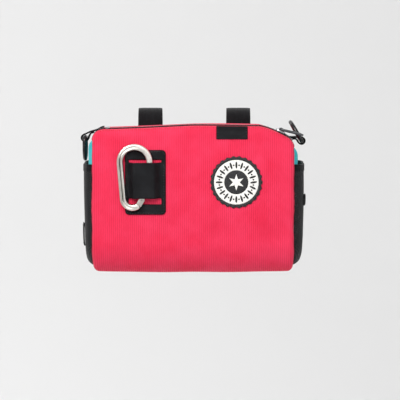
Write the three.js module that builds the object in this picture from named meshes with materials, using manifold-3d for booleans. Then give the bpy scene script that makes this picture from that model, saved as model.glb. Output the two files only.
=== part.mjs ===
// A bicycle handlebar bag: a soft boxy shell with a zip along its top front edge, stretch pockets on
// its ends, a slotted lash tab that holds a snap hook, and two webbing loops around the handlebar.
// Millimetres. The origin is on the handlebar's axis, midway along the bag. Seen from the front, +X is
// to the right. -Y is forwards, out of the bag's front, and +Z is up.

import * as THREE from "three";
import { mergeVertices } from "three/addons/utils/BufferGeometryUtils.js";
import Module from "manifold-3d";

const wasm = await Module();
wasm.setup();

// Handlebar and the loops around it
const BAR_RADIUS = 15.9;
const BAR_CLEARANCE = 0.3;
const STRAP_WIDTH = 25;
const STRAP_THICKNESS = 2;
const STRAP_CENTRES = [-45.5, 47.5];
const STRAP_LEG = 46;
const STRAP_OVERLAP_START = 75;
const STRAP_OVERLAP_END = 300;

// Shell
const GAP = 0.3;
const TRIM_GAP = 0.5;
const HALF_WIDTH = 101.6;
const DEPTH = 93.4;
const HEIGHT = 150.5;
const TOP_ABOVE_BAR = 4.5;
const SHELL_THICKNESS = 2.2;
const RADIUS_TOP_FRONT = 9;
const RADIUS_BOTTOM_FRONT = 36;
const RADIUS_BOTTOM_BACK = 28;
const RADIUS_TOP_BACK = 16;
const END_RADIUS = 6;
const END_TURN = 0.87;
const FRONT_BULGE = 2.5;
const BOTTOM_SAG = 1.6;
const TOP_SAG_LEFT = 3;
const CORNER_LEFT = { run: 13, drop: 4.5, power: 2 };
const CORNER_RIGHT = { run: 34.7, drop: 15, power: 1.4 };

// Zip
const ZIP_WIDTH = 8;
const ZIP_THICKNESS = 1.4;
const ZIP_SUNK = 0.4;
const TEETH_HEIGHT = 1.2;
const SLIDER_FROM_END = 15.6;
const SLIDER_LENGTH = 10;
const SLIDER_WIDTH = 7;
const SLIDER_HEIGHT = 4;
const PULL_LENGTH = 26;
const PULL_WIDTH = 11;
const PULL_BAR = 2.6;
const PULL_HEIGHT = 2;

// End panels and their pockets
const END_THICKNESS = 2;
const END_INSET = 4.7;
const END_SET_BACK = 0.8;
const POCKET_THICKNESS = 1.4;
const POCKET_GAP = 0.7;
const POCKET_MOUTH_FALL = 38.5;
const POCKET_FOOT_RISE = 7;
const ENDS = [
  { name: "left", side: -1, crown: 3.6, bulge: 10.2 },
  { name: "right", side: 1, crown: 5.2, bulge: 11.8 },
];
const TAB_DEPTH = 9;
const TAB_THICKNESS = 1.6;
const TAB_FROM_FRONT = 14;
const TABS = [
  { name: "left", side: -1, fall: 0.562, height: 24 },
  { name: "right", side: 1, fall: 0.286, height: 12 },
];

// Lash tab, with a raised band between its two slots
const LASH_LEFT = -68.2;
const LASH_WIDTH = 41;
const LASH_FALL = 23;
const LASH_HEIGHT = 65.2;
const LASH_THICKNESS = 1.4;
const LASH_CORNER = 4;
const BAND_INSET = 3.8;
const BAND_WIDTH = 32.8;
const BAND_FALL = 12.5;
const BAND_HEIGHT = 36;
const BAND_SHOULDER = 5.6;
const UPPER_SLOT = 2.5;
const LOWER_SLOT = 6;

// Snap hook: its bar runs round two arcs, a wide one above and a narrow one below. Their centres lie
// inwards from the lash tab's left edge and above its band's ends.
const HOOK_TOP_ARC = { inwards: 9.9, above: 0.6, radius: 14.9 };
const HOOK_FOOT_ARC = { inwards: 7.7, above: 0.5, radius: 9.6 };
const HOOK_BAR_WIDTH = 6.2;
const HOOK_BAR_DEPTH = 5.6;
const HOOK_CLEARANCE = 0.5;
const HOOK_END_ANGLE = 308;
const TONGUE_THICKNESS = 2;
const EAR_THICKNESS = 1.3;
const EAR_RADIUS = 2.8;
const EAR_LENGTH = 4.4;
const PIN_RADIUS = 0.9;
const GATE_GAP = 0.8;

// Badge and label
const BADGE = { x: 43.3, fall: 55.5, radius: 25.4, thickness: 1.8 };
const LABEL = { x: 39, width: 31.5, height: 10.5, thickness: 0.9 };

// Rings at the top corners, in webbing tabs
const RING_Y = -62;
const RING_DROP = 26;
const RING_BAR = 4.4;
const RING_CORNER = 2.8;
const RING_TAB_WIDTH = 17;
const RING_TAB_ROOM = 1.5;
const RING_TAB_THICKNESS = 1.5;
const RING_TAB_REACH = 2;
const RING_OUT = 9.4;
const RING_BAR_BELOW_CORNER = { left: 5.6, right: 1.1 };
const RING_TURNS = { left: 0, right: 150 };

// Values that follow from the sizes above
const SLIDER_X = HALF_WIDTH - SLIDER_FROM_END;
const BACK_Y = -(BAR_RADIUS + BAR_CLEARANCE + STRAP_THICKNESS + 0.4);
const FRONT_Y = BACK_Y - DEPTH;
const TOP_Z = TOP_ABOVE_BAR;
const BOTTOM_Z = TOP_Z - HEIGHT;
const FRONT_MOST = FRONT_Y - FRONT_BULGE;
const LASH_TOP = TOP_Z - LASH_FALL;
const BAND_LEFT = LASH_LEFT + BAND_INSET;
const BAND_TOP = LASH_TOP - BAND_FALL;
const HOOK_TOP = {
  x: LASH_LEFT + HOOK_TOP_ARC.inwards,
  z: BAND_TOP + HOOK_TOP_ARC.above,
  radius: HOOK_TOP_ARC.radius,
};
const HOOK_FOOT = {
  x: LASH_LEFT + HOOK_FOOT_ARC.inwards,
  z: BAND_TOP - BAND_HEIGHT + HOOK_FOOT_ARC.above,
  radius: HOOK_FOOT_ARC.radius,
};
const LASH_FACE = FRONT_MOST - GAP - LASH_THICKNESS;
const HOOK_Y = LASH_FACE - HOOK_CLEARANCE - HOOK_BAR_DEPTH / 2;
const BAND_RISE = HOOK_BAR_DEPTH + 2 * HOOK_CLEARANCE + LASH_THICKNESS;
const DEGREE = Math.PI / 180;

const RED = new THREE.MeshStandardMaterial({ color: 0xf03350, roughness: 0.85 });
const TEAL = new THREE.MeshStandardMaterial({ color: 0x2fb4ba, roughness: 0.85 });
const BLACK_CLOTH = new THREE.MeshStandardMaterial({ color: 0x1b1c1f, roughness: 0.95 });
const BLACK_LAMINATE = new THREE.MeshStandardMaterial({ color: 0x202124, roughness: 0.6 });
const BLACK_PLASTIC = new THREE.MeshStandardMaterial({ color: 0x111214, roughness: 0.35 });
const WHITE_THREAD = new THREE.MeshStandardMaterial({ color: 0xf2f2ee, roughness: 0.8 });
const SILVER = new THREE.MeshStandardMaterial({ color: 0xd9d6d0, roughness: 0.35, metalness: 1 });
const STEEL = new THREE.MeshStandardMaterial({ color: 0xa9abae, roughness: 0.3, metalness: 1 });

const part = new THREE.Group();

function add(name, geometry, material, parent = part) {
  const mesh = new THREE.Mesh(geometry, material);
  mesh.name = name;
  parent.add(mesh);
  return mesh;
}

// Closed meshes

function closedGeometry(corners) {
  const loose = new THREE.BufferGeometry().setFromPoints(corners);
  const geometry = mergeVertices(loose, 1e-4);
  const old = geometry.index.array;
  const kept = [];
  for (let k = 0; k < old.length; k += 3) {
    const [a, b, c] = [old[k], old[k + 1], old[k + 2]];
    if (a !== b && b !== c && c !== a) kept.push(a, b, c);
  }
  if (signedVolume(geometry.attributes.position, kept) < 0) kept.reverse();
  geometry.setIndex(kept);
  geometry.computeVertexNormals();
  return geometry;
}

function signedVolume(position, index) {
  const [a, b, c] = [new THREE.Vector3(), new THREE.Vector3(), new THREE.Vector3()];
  let total = 0;
  for (let k = 0; k < index.length; k += 3) {
    a.fromBufferAttribute(position, index[k]);
    b.fromBufferAttribute(position, index[k + 1]);
    c.fromBufferAttribute(position, index[k + 2]);
    total += a.dot(b.cross(c)) / 6;
  }
  return total;
}

function quad(corners, a, b, c, d) {
  corners.push(a, b, c, a, c, d);
}

// A wall between two grids of points, outer[i][j] and inner[i][j]. Cells that keep() drops are holes,
// and every free edge is closed by a rim. With wrapped, the last column joins the first.
function wallSolid(outer, inner, { wrapped = false, keep = () => true } = {}) {
  const columns = wrapped ? outer.length : outer.length - 1;
  const rows = outer[0].length - 1;
  const next = (i) => (i + 1) % outer.length;
  const solidAt = (i, j) => {
    const column = wrapped ? (i + columns) % columns : i;
    return column >= 0 && column < columns && j >= 0 && j < rows && keep(column, j);
  };
  const corners = [];
  for (let i = 0; i < columns; i++) {
    for (let j = 0; j < rows; j++) {
      if (!solidAt(i, j)) continue;
      const k = next(i);
      quad(corners, outer[i][j], outer[k][j], outer[k][j + 1], outer[i][j + 1]);
      quad(corners, inner[i][j], inner[i][j + 1], inner[k][j + 1], inner[k][j]);
      if (!solidAt(i, j - 1)) quad(corners, outer[k][j], outer[i][j], inner[i][j], inner[k][j]);
      if (!solidAt(i, j + 1)) {
        quad(corners, outer[i][j + 1], outer[k][j + 1], inner[k][j + 1], inner[i][j + 1]);
      }
      if (!solidAt(i - 1, j)) quad(corners, outer[i][j], outer[i][j + 1], inner[i][j + 1], inner[i][j]);
      if (!solidAt(i + 1, j)) quad(corners, outer[k][j + 1], outer[k][j], inner[k][j], inner[k][j + 1]);
    }
  }
  return closedGeometry(corners);
}

// A bar of one section along a flat path, with the section's second direction along sideways.
function barSolid(path, sideways, section, closed = false) {
  const count = path.length;
  const rings = path.map((centre, k) => {
    const before = path[closed ? (k + count - 1) % count : Math.max(k - 1, 0)];
    const after = path[closed ? (k + 1) % count : Math.min(k + 1, count - 1)];
    const along = after.clone().sub(before).normalize();
    const across = sideways.clone().cross(along).normalize();
    return section.map(([a, b]) => centre.clone().addScaledVector(across, a).addScaledVector(sideways, b));
  });
  const corners = [];
  const sides = section.length;
  for (let k = 0; k < (closed ? count : count - 1); k++) {
    const [here, there] = [rings[k], rings[(k + 1) % count]];
    for (let s = 0; s < sides; s++) {
      const t = (s + 1) % sides;
      quad(corners, here[s], here[t], there[t], there[s]);
    }
  }
  if (!closed) {
    for (let s = 1; s < sides - 1; s++) {
      const [first, last] = [rings[0], rings[count - 1]];
      corners.push(first[0], first[s + 1], first[s], last[0], last[s], last[s + 1]);
    }
  }
  return closedGeometry(corners);
}

function chamferedSection(width, depth, share = 0.27) {
  const [a, b] = [width / 2, depth / 2];
  const cut = Math.min(width, depth) * share;
  return [
    [a, -b + cut],
    [a, b - cut],
    [a - cut, b],
    [-a + cut, b],
    [-a, b - cut],
    [-a, -b + cut],
    [-a + cut, -b],
    [a - cut, -b],
  ];
}

function toManifold(geometry) {
  const bare = geometry.clone();
  bare.deleteAttribute("normal");
  bare.deleteAttribute("uv");
  const merged = mergeVertices(bare, 1e-4);
  return new wasm.Manifold(
    new wasm.Mesh({
      numProp: 3,
      vertProperties: new Float32Array(merged.attributes.position.array),
      triVerts: new Uint32Array(merged.index.array),
    }),
  );
}

function fromManifold(solid) {
  const { vertProperties, triVerts } = solid.getMesh();
  const geometry = new THREE.BufferGeometry();
  geometry.setAttribute("position", new THREE.BufferAttribute(vertProperties, 3));
  geometry.setIndex(new THREE.BufferAttribute(triVerts, 1));
  geometry.computeVertexNormals();
  return geometry;
}

function join(...geometries) {
  return fromManifold(geometries.map(toManifold).reduce((whole, piece) => whole.add(piece)));
}

function steps(from, to, count) {
  return Array.from({ length: count + 1 }, (_, k) => from + ((to - from) * k) / count);
}

// The shell's surface. A station runs once round the cross-section: 0 to 1 is the top front corner,
// 1 to 2 the front, 2 to 3 the bottom front corner, 3 to 4 the bottom, 4 to 5 the bottom back corner,
// 5 to 6 the back, 6 to 7 the top back corner and 7 to 8 the top.

function cornerDrop(x) {
  const { run, drop, power } = x < 0 ? CORNER_LEFT : CORNER_RIGHT;
  const share = (Math.abs(x) - (HALF_WIDTH - run)) / run;
  return share > 0 ? drop * share ** power : 0;
}

function topAt(x) {
  const left = Math.max(-x / HALF_WIDTH, 0);
  return TOP_Z - TOP_SAG_LEFT * left - cornerDrop(x);
}

function fullness(x) {
  return 1 - (x / HALF_WIDTH) ** 4;
}

function endInset(x) {
  const start = HALF_WIDTH - END_RADIUS * END_TURN;
  const past = Math.abs(x) - start;
  return past > 0 ? END_RADIUS - Math.sqrt(END_RADIUS ** 2 - past ** 2) : 0;
}

function bagPoint(x, station, inset = endInset(x)) {
  const top = topAt(x) - inset;
  const bottom = BOTTOM_Z - BOTTOM_SAG * (fullness(x) - 1) + inset;
  const front = FRONT_Y + inset;
  const back = BACK_Y - inset;
  const corners = [
    { y: front, z: top, radius: RADIUS_TOP_FRONT - inset, toBack: 1, up: -1, turn: 90 },
    { y: front, z: bottom, radius: RADIUS_BOTTOM_FRONT - inset, toBack: 1, up: 1, turn: 180 },
    { y: back, z: bottom, radius: RADIUS_BOTTOM_BACK - inset, toBack: -1, up: 1, turn: 270 },
    { y: back, z: top, radius: RADIUS_TOP_BACK - inset, toBack: -1, up: -1, turn: 360 },
  ];
  const onCorner = (corner, share) => {
    const angle = (corner.turn + 90 * share) * DEGREE;
    return {
      y: corner.y + corner.toBack * corner.radius + corner.radius * Math.cos(angle),
      z: corner.z + corner.up * corner.radius + corner.radius * Math.sin(angle),
    };
  };
  const leg = Math.floor(station / 2) % 4;
  const share = (station % 8) - 2 * leg;
  if (share <= 1) {
    const { y, z } = onCorner(corners[leg], share);
    return new THREE.Vector3(x, y, z);
  }
  const from = onCorner(corners[leg], 1);
  const to = onCorner(corners[(leg + 1) % 4], 0);
  const along = share - 1;
  const swell = leg === 0 ? FRONT_BULGE * fullness(x) * (1 - (2 * along - 1) ** 4) ** 2 : 0;
  return new THREE.Vector3(
    x,
    from.y + (to.y - from.y) * along - swell,
    from.z + (to.z - from.z) * along,
  );
}

function bagNormal(x, station) {
  const small = 0.01;
  const alongX = bagPoint(x + small, station).sub(bagPoint(x - small, station));
  const around = bagPoint(x, station + small).sub(bagPoint(x, station - small + 8));
  return around.cross(alongX).normalize();
}

function lifted(x, station, distance) {
  return bagPoint(x, station).addScaledVector(bagNormal(x, station), distance);
}

// The station on the front face at a height z
function frontStation(x, z) {
  const from = bagPoint(x, 1).z;
  const to = bagPoint(x, 2).z;
  return 1 + (z - from) / (to - from);
}

function onFront(x, z, distance) {
  return lifted(x, frontStation(x, z), distance);
}

// Columns across the bag: close together where its ends turn in
const LIMIT = HALF_WIDTH - 0.02;
const COLUMNS = [
  ...[1, 0.988, 0.972, 0.95].map((share) => -LIMIT * share),
  ...[-0.9, -0.8, -0.6, -0.4, -0.2, 0, 0.2, 0.4, 0.55, 0.68, 0.8, 0.9].map((share) => LIMIT * share),
  ...[0.95, 0.972, 0.988, 1].map((share) => LIMIT * share),
];

function panel(stations, outside, thickness, columns = COLUMNS) {
  const grid = (distance) => columns.map((x) => stations.map((s) => lifted(x, s, distance(s))));
  return wallSolid(grid(outside), grid((s) => outside(s) - thickness));
}

function zipShare() {
  const length = DEPTH - RADIUS_TOP_BACK - RADIUS_TOP_FRONT;
  return ZIP_WIDTH / length;
}

const ZIP_START = 8 - zipShare();
const SEAM = GAP / (DEPTH - RADIUS_TOP_BACK - RADIUS_TOP_FRONT);
const BACK_SEAM = (3.2 * GAP) / (RADIUS_TOP_BACK * Math.PI * 0.5);

function addShell() {
  const round = [
    ...steps(0, 1, 4),
    ...steps(1, 2, 8).slice(1),
    ...steps(2, 3, 5).slice(1),
    ...steps(3, 4, 2).slice(1),
    ...steps(4, 5, 4).slice(1),
    ...steps(5, 6, 4).slice(1),
  ];
  add("wrap_panel", panel(round, () => 0, SHELL_THICKNESS), RED);
  const over = [...steps(6 + BACK_SEAM, 7, 4), ...steps(7, ZIP_START - SEAM, 4).slice(1)];
  add("top_panel", panel(over, () => 0, SHELL_THICKNESS), RED);
  const across = steps(ZIP_START, 8 - SEAM, 6);
  const raised = (s) => {
    const middle = Math.abs((s - ZIP_START) / (8 - SEAM - ZIP_START) - 0.5);
    return middle < 0.2 ? TEETH_HEIGHT : -ZIP_SUNK;
  };
  const grid = (distance) => COLUMNS.map((x) => across.map((s) => lifted(x, s, distance(s))));
  const under = () => -ZIP_SUNK - ZIP_THICKNESS;
  add("zip_tape", wallSolid(grid(raised), grid(under)), BLACK_CLOTH);
}

function addSlider() {
  const middle = (ZIP_START + 8) / 2;
  const spot = lifted(SLIDER_X, middle, TEETH_HEIGHT + GAP);
  const slope = lifted(SLIDER_X + 1, middle, 0).sub(lifted(SLIDER_X - 1, middle, 0));
  const group = new THREE.Group();
  group.position.copy(spot);
  group.rotation.y = Math.atan2(-slope.z, slope.x);
  part.add(group);

  const half = SLIDER_LENGTH / 2;
  const outline = new THREE.Shape();
  outline.moveTo(-half, -SLIDER_WIDTH * 0.34);
  outline.lineTo(half * 0.4, -SLIDER_WIDTH / 2);
  outline.lineTo(half, -SLIDER_WIDTH / 2);
  outline.lineTo(half, SLIDER_WIDTH / 2);
  outline.lineTo(half * 0.4, SLIDER_WIDTH / 2);
  outline.lineTo(-half, SLIDER_WIDTH * 0.34);
  const plate = new THREE.ExtrudeGeometry(outline, { depth: SLIDER_HEIGHT * 0.4, bevelEnabled: false });
  const bridge = new THREE.BoxGeometry(SLIDER_LENGTH * 0.62, SLIDER_WIDTH * 0.3, SLIDER_HEIGHT * 0.7);
  bridge.translate(0, 0, SLIDER_HEIGHT * 0.64);
  add("zip_slider", join(plate, bridge), STEEL, group);

  const reach = PULL_LENGTH - PULL_WIDTH;
  const radius = (PULL_WIDTH - PULL_BAR) / 2;
  const bend = (from, to, shift) =>
    steps(from, to, 8).map((angle) => {
      const turn = angle * DEGREE;
      return new THREE.Vector3(shift + radius * Math.cos(turn), radius * Math.sin(turn), 0);
    });
  const path = [...bend(90, 270, 0), ...bend(-90, 90, reach)];
  const pull = add(
    "zip_pull",
    barSolid(path, new THREE.Vector3(0, 0, 1), chamferedSection(PULL_BAR, PULL_HEIGHT), true),
    BLACK_PLASTIC,
    group,
  );
  pull.position.set(SLIDER_LENGTH / 2 - 1, 0, SLIDER_HEIGHT + PULL_HEIGHT / 2 + GAP);
  pull.rotation.z = 0.35;
}

// The end panels close the loop at the shell's ends, and each swells a little outwards.

function endRing(side, inset) {
  const x = side * LIMIT;
  const stations = [
    ...steps(0, 1, 3),
    ...steps(1, 2, 5).slice(1),
    ...steps(2, 3, 4).slice(1),
    ...steps(3, 4, 2).slice(1),
    ...steps(4, 5, 4).slice(1),
    ...steps(5, 6, 5).slice(1),
    ...steps(6, 7, 3).slice(1),
    ...steps(7, 8, 3).slice(1, -1),
  ];
  return stations.map((station) => bagPoint(x, station, inset));
}

function endPlane(side) {
  return side * (HALF_WIDTH - END_SET_BACK);
}

// How far an end panel stands out at a point of its face, most of it reached close to its edge
function endCrown({ side, crown }, y, z) {
  const top = topAt(side * LIMIT);
  const across = (2 * (y - BACK_Y)) / DEPTH + 1;
  const up = (2 * (z - BOTTOM_Z)) / (top - BOTTOM_Z) - 1;
  const reach = (Math.abs(across) ** 6 + Math.abs(up) ** 6) ** (1 / 6);
  return crown * Math.max(1 - reach ** 9, 0);
}

function addEndPanel(end) {
  const { name, side } = end;
  const ring = endRing(side, endInset(LIMIT) + END_INSET - 3);
  const middle = ring.reduce((sum, p) => sum.add(p), new THREE.Vector3()).divideScalar(ring.length);
  const shares = [1, 0.97, 0.92, 0.84, 0.6, 0];
  const face = (set) =>
    ring.map((p) =>
      shares.map((share) => {
        const point = middle.clone().lerp(p, share);
        const out = endCrown(end, point.y, point.z) - set;
        point.x = endPlane(side) + side * out;
        return point;
      }),
    );
  add(`side_panel_${name}`, wallSolid(face(0), face(END_THICKNESS), { wrapped: true }), TEAL);
}

// The height of each row of a pocket as a share of its height, and how far it stands out as a share
// of its bulge
const POCKET_ROWS = [
  { fall: 0, out: 1 },
  { fall: 0.1, out: 1 },
  { fall: 0.3, out: 0.98 },
  { fall: 0.5, out: 0.94 },
  { fall: 0.7, out: 0.88 },
  { fall: 0.84, out: 0.72 },
  { fall: 0.94, out: 0.4 },
  { fall: 1, out: 0.08 },
];
const POCKET_COLUMNS = [0, 0.05, 0.12, 0.25, 0.5, 0.75, 0.88, 0.95, 1];

function pocketEdges(side, z) {
  const x = side * LIMIT;
  const inset = endInset(LIMIT) + END_INSET - 3 + GAP;
  const low = BOTTOM_Z + BOTTOM_SAG + inset;
  const edge = (wall, direction, radius) => {
    const rise = z - low;
    const turn = radius - inset;
    const cut = rise < turn ? turn - Math.sqrt(turn ** 2 - (turn - rise) ** 2) : 0;
    return wall + direction * (inset + cut);
  };
  return {
    x,
    front: edge(FRONT_Y, 1, RADIUS_BOTTOM_FRONT),
    back: edge(BACK_Y, -1, RADIUS_BOTTOM_BACK),
  };
}

function pocketPoint(end, row, column, set) {
  const { side, crown, bulge } = end;
  const mouth = TOP_Z - POCKET_MOUTH_FALL;
  const foot = BOTTOM_Z + POCKET_FOOT_RISE;
  const z = mouth + (foot - mouth) * row.fall;
  const { front, back } = pocketEdges(side, z);
  const across = 1 - Math.abs(2 * column - 1) ** 5;
  const y = back + (front - back) * column;
  const lining = endCrown(end, y, z) + POCKET_GAP + POCKET_THICKNESS;
  const out = lining + (bulge - crown - POCKET_GAP - POCKET_THICKNESS) * across * row.out - set;
  return new THREE.Vector3(endPlane(side) + side * out, y, z);
}

function addPocket(end) {
  const face = (set) => POCKET_COLUMNS.map((c) => POCKET_ROWS.map((r) => pocketPoint(end, r, c, set)));
  add(`side_pocket_${end.name}`, wallSolid(face(0), face(POCKET_THICKNESS)), BLACK_CLOTH);
}

function pocketAt(end, y, z, distance) {
  const mouth = TOP_Z - POCKET_MOUTH_FALL;
  const foot = BOTTOM_Z + POCKET_FOOT_RISE;
  const fall = (z - mouth) / (foot - mouth);
  const k = POCKET_ROWS.findIndex((row, index) => index > 0 && row.fall >= fall);
  const [above, below] = [POCKET_ROWS[k - 1], POCKET_ROWS[k]];
  const share = (fall - above.fall) / (below.fall - above.fall);
  const row = { fall, out: above.out + (below.out - above.out) * share };
  const { front, back } = pocketEdges(end.side, z);
  return pocketPoint(end, row, (y - back) / (front - back), -distance);
}

function addTab({ name, side, fall, height }) {
  const end = ENDS.find((one) => one.side === side);
  const mouth = TOP_Z - POCKET_MOUTH_FALL;
  const top = mouth - (mouth - BOTTOM_Z - POCKET_FOOT_RISE) * fall;
  const start = FRONT_Y + TAB_FROM_FRONT;
  const face = (distance) =>
    steps(start, start + TAB_DEPTH, 3).map((y) =>
      steps(top, top - height, 3).map((z) => pocketAt(end, y, z, distance)),
    );
  add(`side_tab_${name}`, wallSolid(face(GAP * 2 + TAB_THICKNESS), face(GAP * 2)), BLACK_CLOTH);
}

// Lash tab: a sheet on the front face. Its band stands out far enough for the snap hook's bar.

function bandShoulder(from, to) {
  const reach = 0.52 * (to - from);
  const curve = new THREE.CubicBezierCurve(
    new THREE.Vector2(from, 0),
    new THREE.Vector2(from + reach, 0),
    new THREE.Vector2(to - reach, BAND_RISE),
    new THREE.Vector2(to, BAND_RISE),
  );
  return curve.getPoints(6);
}

function offsetProfile(points, distance) {
  return points.map((point, k) => {
    const before = points[Math.max(k - 1, 0)];
    const after = points[Math.min(k + 1, points.length - 1)];
    const along = after.clone().sub(before).normalize();
    return new THREE.Vector2(point.x + along.y * distance, point.y - along.x * distance);
  });
}

function addLashTab() {
  const right = LASH_LEFT + LASH_WIDTH;
  const bandRight = BAND_LEFT + BAND_WIDTH;
  const rising = bandShoulder(BAND_LEFT, BAND_LEFT + BAND_SHOULDER);
  const falling = bandShoulder(bandRight, bandRight - BAND_SHOULDER).reverse();
  const middle = new THREE.Vector2((BAND_LEFT + bandRight) / 2, BAND_RISE);
  const over = [...rising, middle, ...falling];
  const under = offsetProfile(over, LASH_THICKNESS);
  const margins = [LASH_LEFT, LASH_LEFT + 2];
  const flat = (x) => new THREE.Vector2(x, 0);
  const sunk = (x) => new THREE.Vector2(x, -LASH_THICKNESS);
  const ends = [right - 2, right];
  const outerLine = [...margins.map(flat), ...over, ...ends.map(flat)];
  const innerLine = [...margins.map(sunk), ...under, ...ends.map(sunk)];

  const bandFoot = BAND_TOP - BAND_HEIGHT;
  const bottom = LASH_TOP - LASH_HEIGHT;
  const heights = [
    LASH_TOP,
    LASH_TOP - LASH_CORNER,
    BAND_TOP + UPPER_SLOT,
    ...steps(BAND_TOP, bandFoot, 4),
    bandFoot - LOWER_SLOT,
    bottom + LASH_CORNER,
    bottom,
  ];
  const bandRows = heights.map((z) => z <= BAND_TOP && z >= bandFoot);
  const first = margins.length;
  const last = first + over.length - 1;
  const lowSlot = heights.indexOf(bandFoot - LOWER_SLOT);
  const keep = (i, j) => !(i >= first && i < last && (j === 2 || j === lowSlot - 1));
  const centre = { x: (LASH_LEFT + right) / 2, z: (LASH_TOP + bottom) / 2 };
  const round = (x, z, i, j) => {
    const cornerColumn = i === 0 || i === outerLine.length - 1;
    const cornerRow = j === 0 || j === heights.length - 1;
    const pull = cornerColumn && cornerRow ? LASH_CORNER * (1 - Math.SQRT1_2) * 0.7 : 0;
    return [x - pull * Math.sign(x - centre.x), z - pull * Math.sign(z - centre.z)];
  };
  const place = (line, level) =>
    line.map((point, i) =>
      heights.map((height, j) => {
        const raised = bandRows[j] ? point.y : level;
        const across = bandRows[j] ? point.x : outerLine[i].x;
        const [x, z] = round(across, height, i, j);
        const y = bandRows[j] && i >= first && i <= last ? FRONT_MOST : onFront(x, z, 0).y;
        return new THREE.Vector3(x, y - GAP - LASH_THICKNESS - raised, z);
      }),
    );
  const sheet = wallSolid(place(outerLine, 0), place(innerLine, -LASH_THICKNESS), { keep });
  add("lash_tab", sheet, BLACK_LAMINATE);
}

// Snap hook

function hookTangents() {
  const dx = HOOK_FOOT.x - HOOK_TOP.x;
  const dz = HOOK_FOOT.z - HOOK_TOP.z;
  const distance = Math.hypot(dx, dz);
  const heading = Math.atan2(dz, dx) / DEGREE;
  const spread = Math.acos((HOOK_TOP.radius - HOOK_FOOT.radius) / distance) / DEGREE;
  return { gateSide: heading + spread, spineSide: heading - spread + 360 };
}

function onArc({ x, z, radius }, angle) {
  const turn = angle * DEGREE;
  return new THREE.Vector3(x + radius * Math.cos(turn), HOOK_Y, z + radius * Math.sin(turn));
}

const { gateSide, spineSide } = hookTangents();
const HINGE = onArc(HOOK_FOOT, gateSide);
const NOSE = onArc(HOOK_TOP, gateSide);

// A flat link of the hinge: a bar between two points with a round end at the first and a pin hole there
function hingeLink(from, to, width, thickness, y) {
  const along = new THREE.Vector2(to.x - from.x, to.z - from.z);
  const start = Math.atan2(along.y, along.x);
  const length = along.length();
  const half = width / 2;
  const outline = new THREE.Shape();
  outline.moveTo(length, -half);
  outline.lineTo(length, half);
  outline.lineTo(0, half);
  for (const angle of steps(90, 270, 8).slice(1)) {
    outline.lineTo(half * Math.cos(angle * DEGREE), half * Math.sin(angle * DEGREE));
  }
  const hole = new THREE.Path();
  hole.absarc(0, 0, PIN_RADIUS + GAP, 0, 2 * Math.PI, true);
  outline.holes.push(hole);
  const settings = { depth: thickness, bevelEnabled: false, curveSegments: 8 };
  const link = new THREE.ExtrudeGeometry(outline, settings);
  link.rotateZ(start);
  link.rotateX(Math.PI / 2);
  link.translate(from.x, y + thickness / 2, from.z);
  return link;
}

function addSnapHook() {
  const sideways = new THREE.Vector3(0, 1, 0);
  const section = chamferedSection(HOOK_BAR_WIDTH, HOOK_BAR_DEPTH);
  const path = [
    ...steps(gateSide, spineSide, 16).map((angle) => onArc(HOOK_TOP, angle)),
    ...steps(spineSide, HOOK_END_ANGLE, 9).map((angle) => onArc(HOOK_FOOT, angle)),
  ];
  const end = path[path.length - 1];
  const bar = barSolid(path, sideways, section);
  const tongue = hingeLink(HINGE, end, EAR_RADIUS * 2, TONGUE_THICKNESS, HOOK_Y);
  add("carabiner_body", join(bar, tongue), SILVER);

  const along = NOSE.clone().sub(HINGE).normalize();
  const length = NOSE.distanceTo(HINGE);
  const at = (distance) => HINGE.clone().addScaledVector(along, distance);
  const rod = barSolid(
    [at(EAR_LENGTH), at(length - GATE_GAP)],
    sideways,
    chamferedSection(EAR_RADIUS * 2, HOOK_BAR_DEPTH),
  );
  const earOffset = (HOOK_BAR_DEPTH - EAR_THICKNESS) / 2;
  const ears = [-1, 1].map((side) =>
    hingeLink(HINGE, at(EAR_LENGTH + 1), EAR_RADIUS * 1.6, EAR_THICKNESS, HOOK_Y + side * earOffset),
  );
  add("carabiner_gate", join(rod, ...ears), SILVER);

  const pin = new THREE.CylinderGeometry(PIN_RADIUS, PIN_RADIUS, HOOK_BAR_DEPTH, 12);
  add("gate_pin", pin, STEEL).position.copy(HINGE);
}

// Badge and label

function addBadge() {
  const turn = steps(0, 360, 32).slice(0, -1);
  const shares = [1, 0.5, 0];
  const face = (distance) =>
    turn.map((angle) =>
      shares.map((share) => {
        const reach = BADGE.radius * share;
        const x = BADGE.x + reach * Math.cos(angle * DEGREE);
        const z = TOP_Z - BADGE.fall + reach * Math.sin(angle * DEGREE);
        return onFront(x, z, distance);
      }),
    );
  add("patch", wallSolid(face(TRIM_GAP + BADGE.thickness), face(TRIM_GAP), { wrapped: true }), WHITE_THREAD);
}

function addLabel() {
  const top = bagPoint(LABEL.x, 0.45).z;
  const low = frontStation(LABEL.x, top - LABEL.height);
  const stations = [0.45, 0.65, 0.85, 1, low];
  const columns = steps(LABEL.x - LABEL.width / 2, LABEL.x + LABEL.width / 2, 3);
  add("label", panel(stations, () => TRIM_GAP + LABEL.thickness, LABEL.thickness, columns), BLACK_LAMINATE);
}

// Webbing loops around the handlebar, each sewn to the bag's back by its leg

function ringSector(inner, outer, from, to) {
  const shape = new THREE.Shape();
  const out = steps(from, to, Math.max(4, Math.round((to - from) / 11.25)));
  out.forEach((angle, k) => {
    const [x, y] = [outer * Math.cos(angle * DEGREE), outer * Math.sin(angle * DEGREE)];
    if (k === 0) shape.moveTo(x, y);
    else shape.lineTo(x, y);
  });
  for (const angle of out.slice().reverse()) {
    shape.lineTo(inner * Math.cos(angle * DEGREE), inner * Math.sin(angle * DEGREE));
  }
  return new THREE.ExtrudeGeometry(shape, { depth: STRAP_WIDTH, bevelEnabled: false });
}

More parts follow.
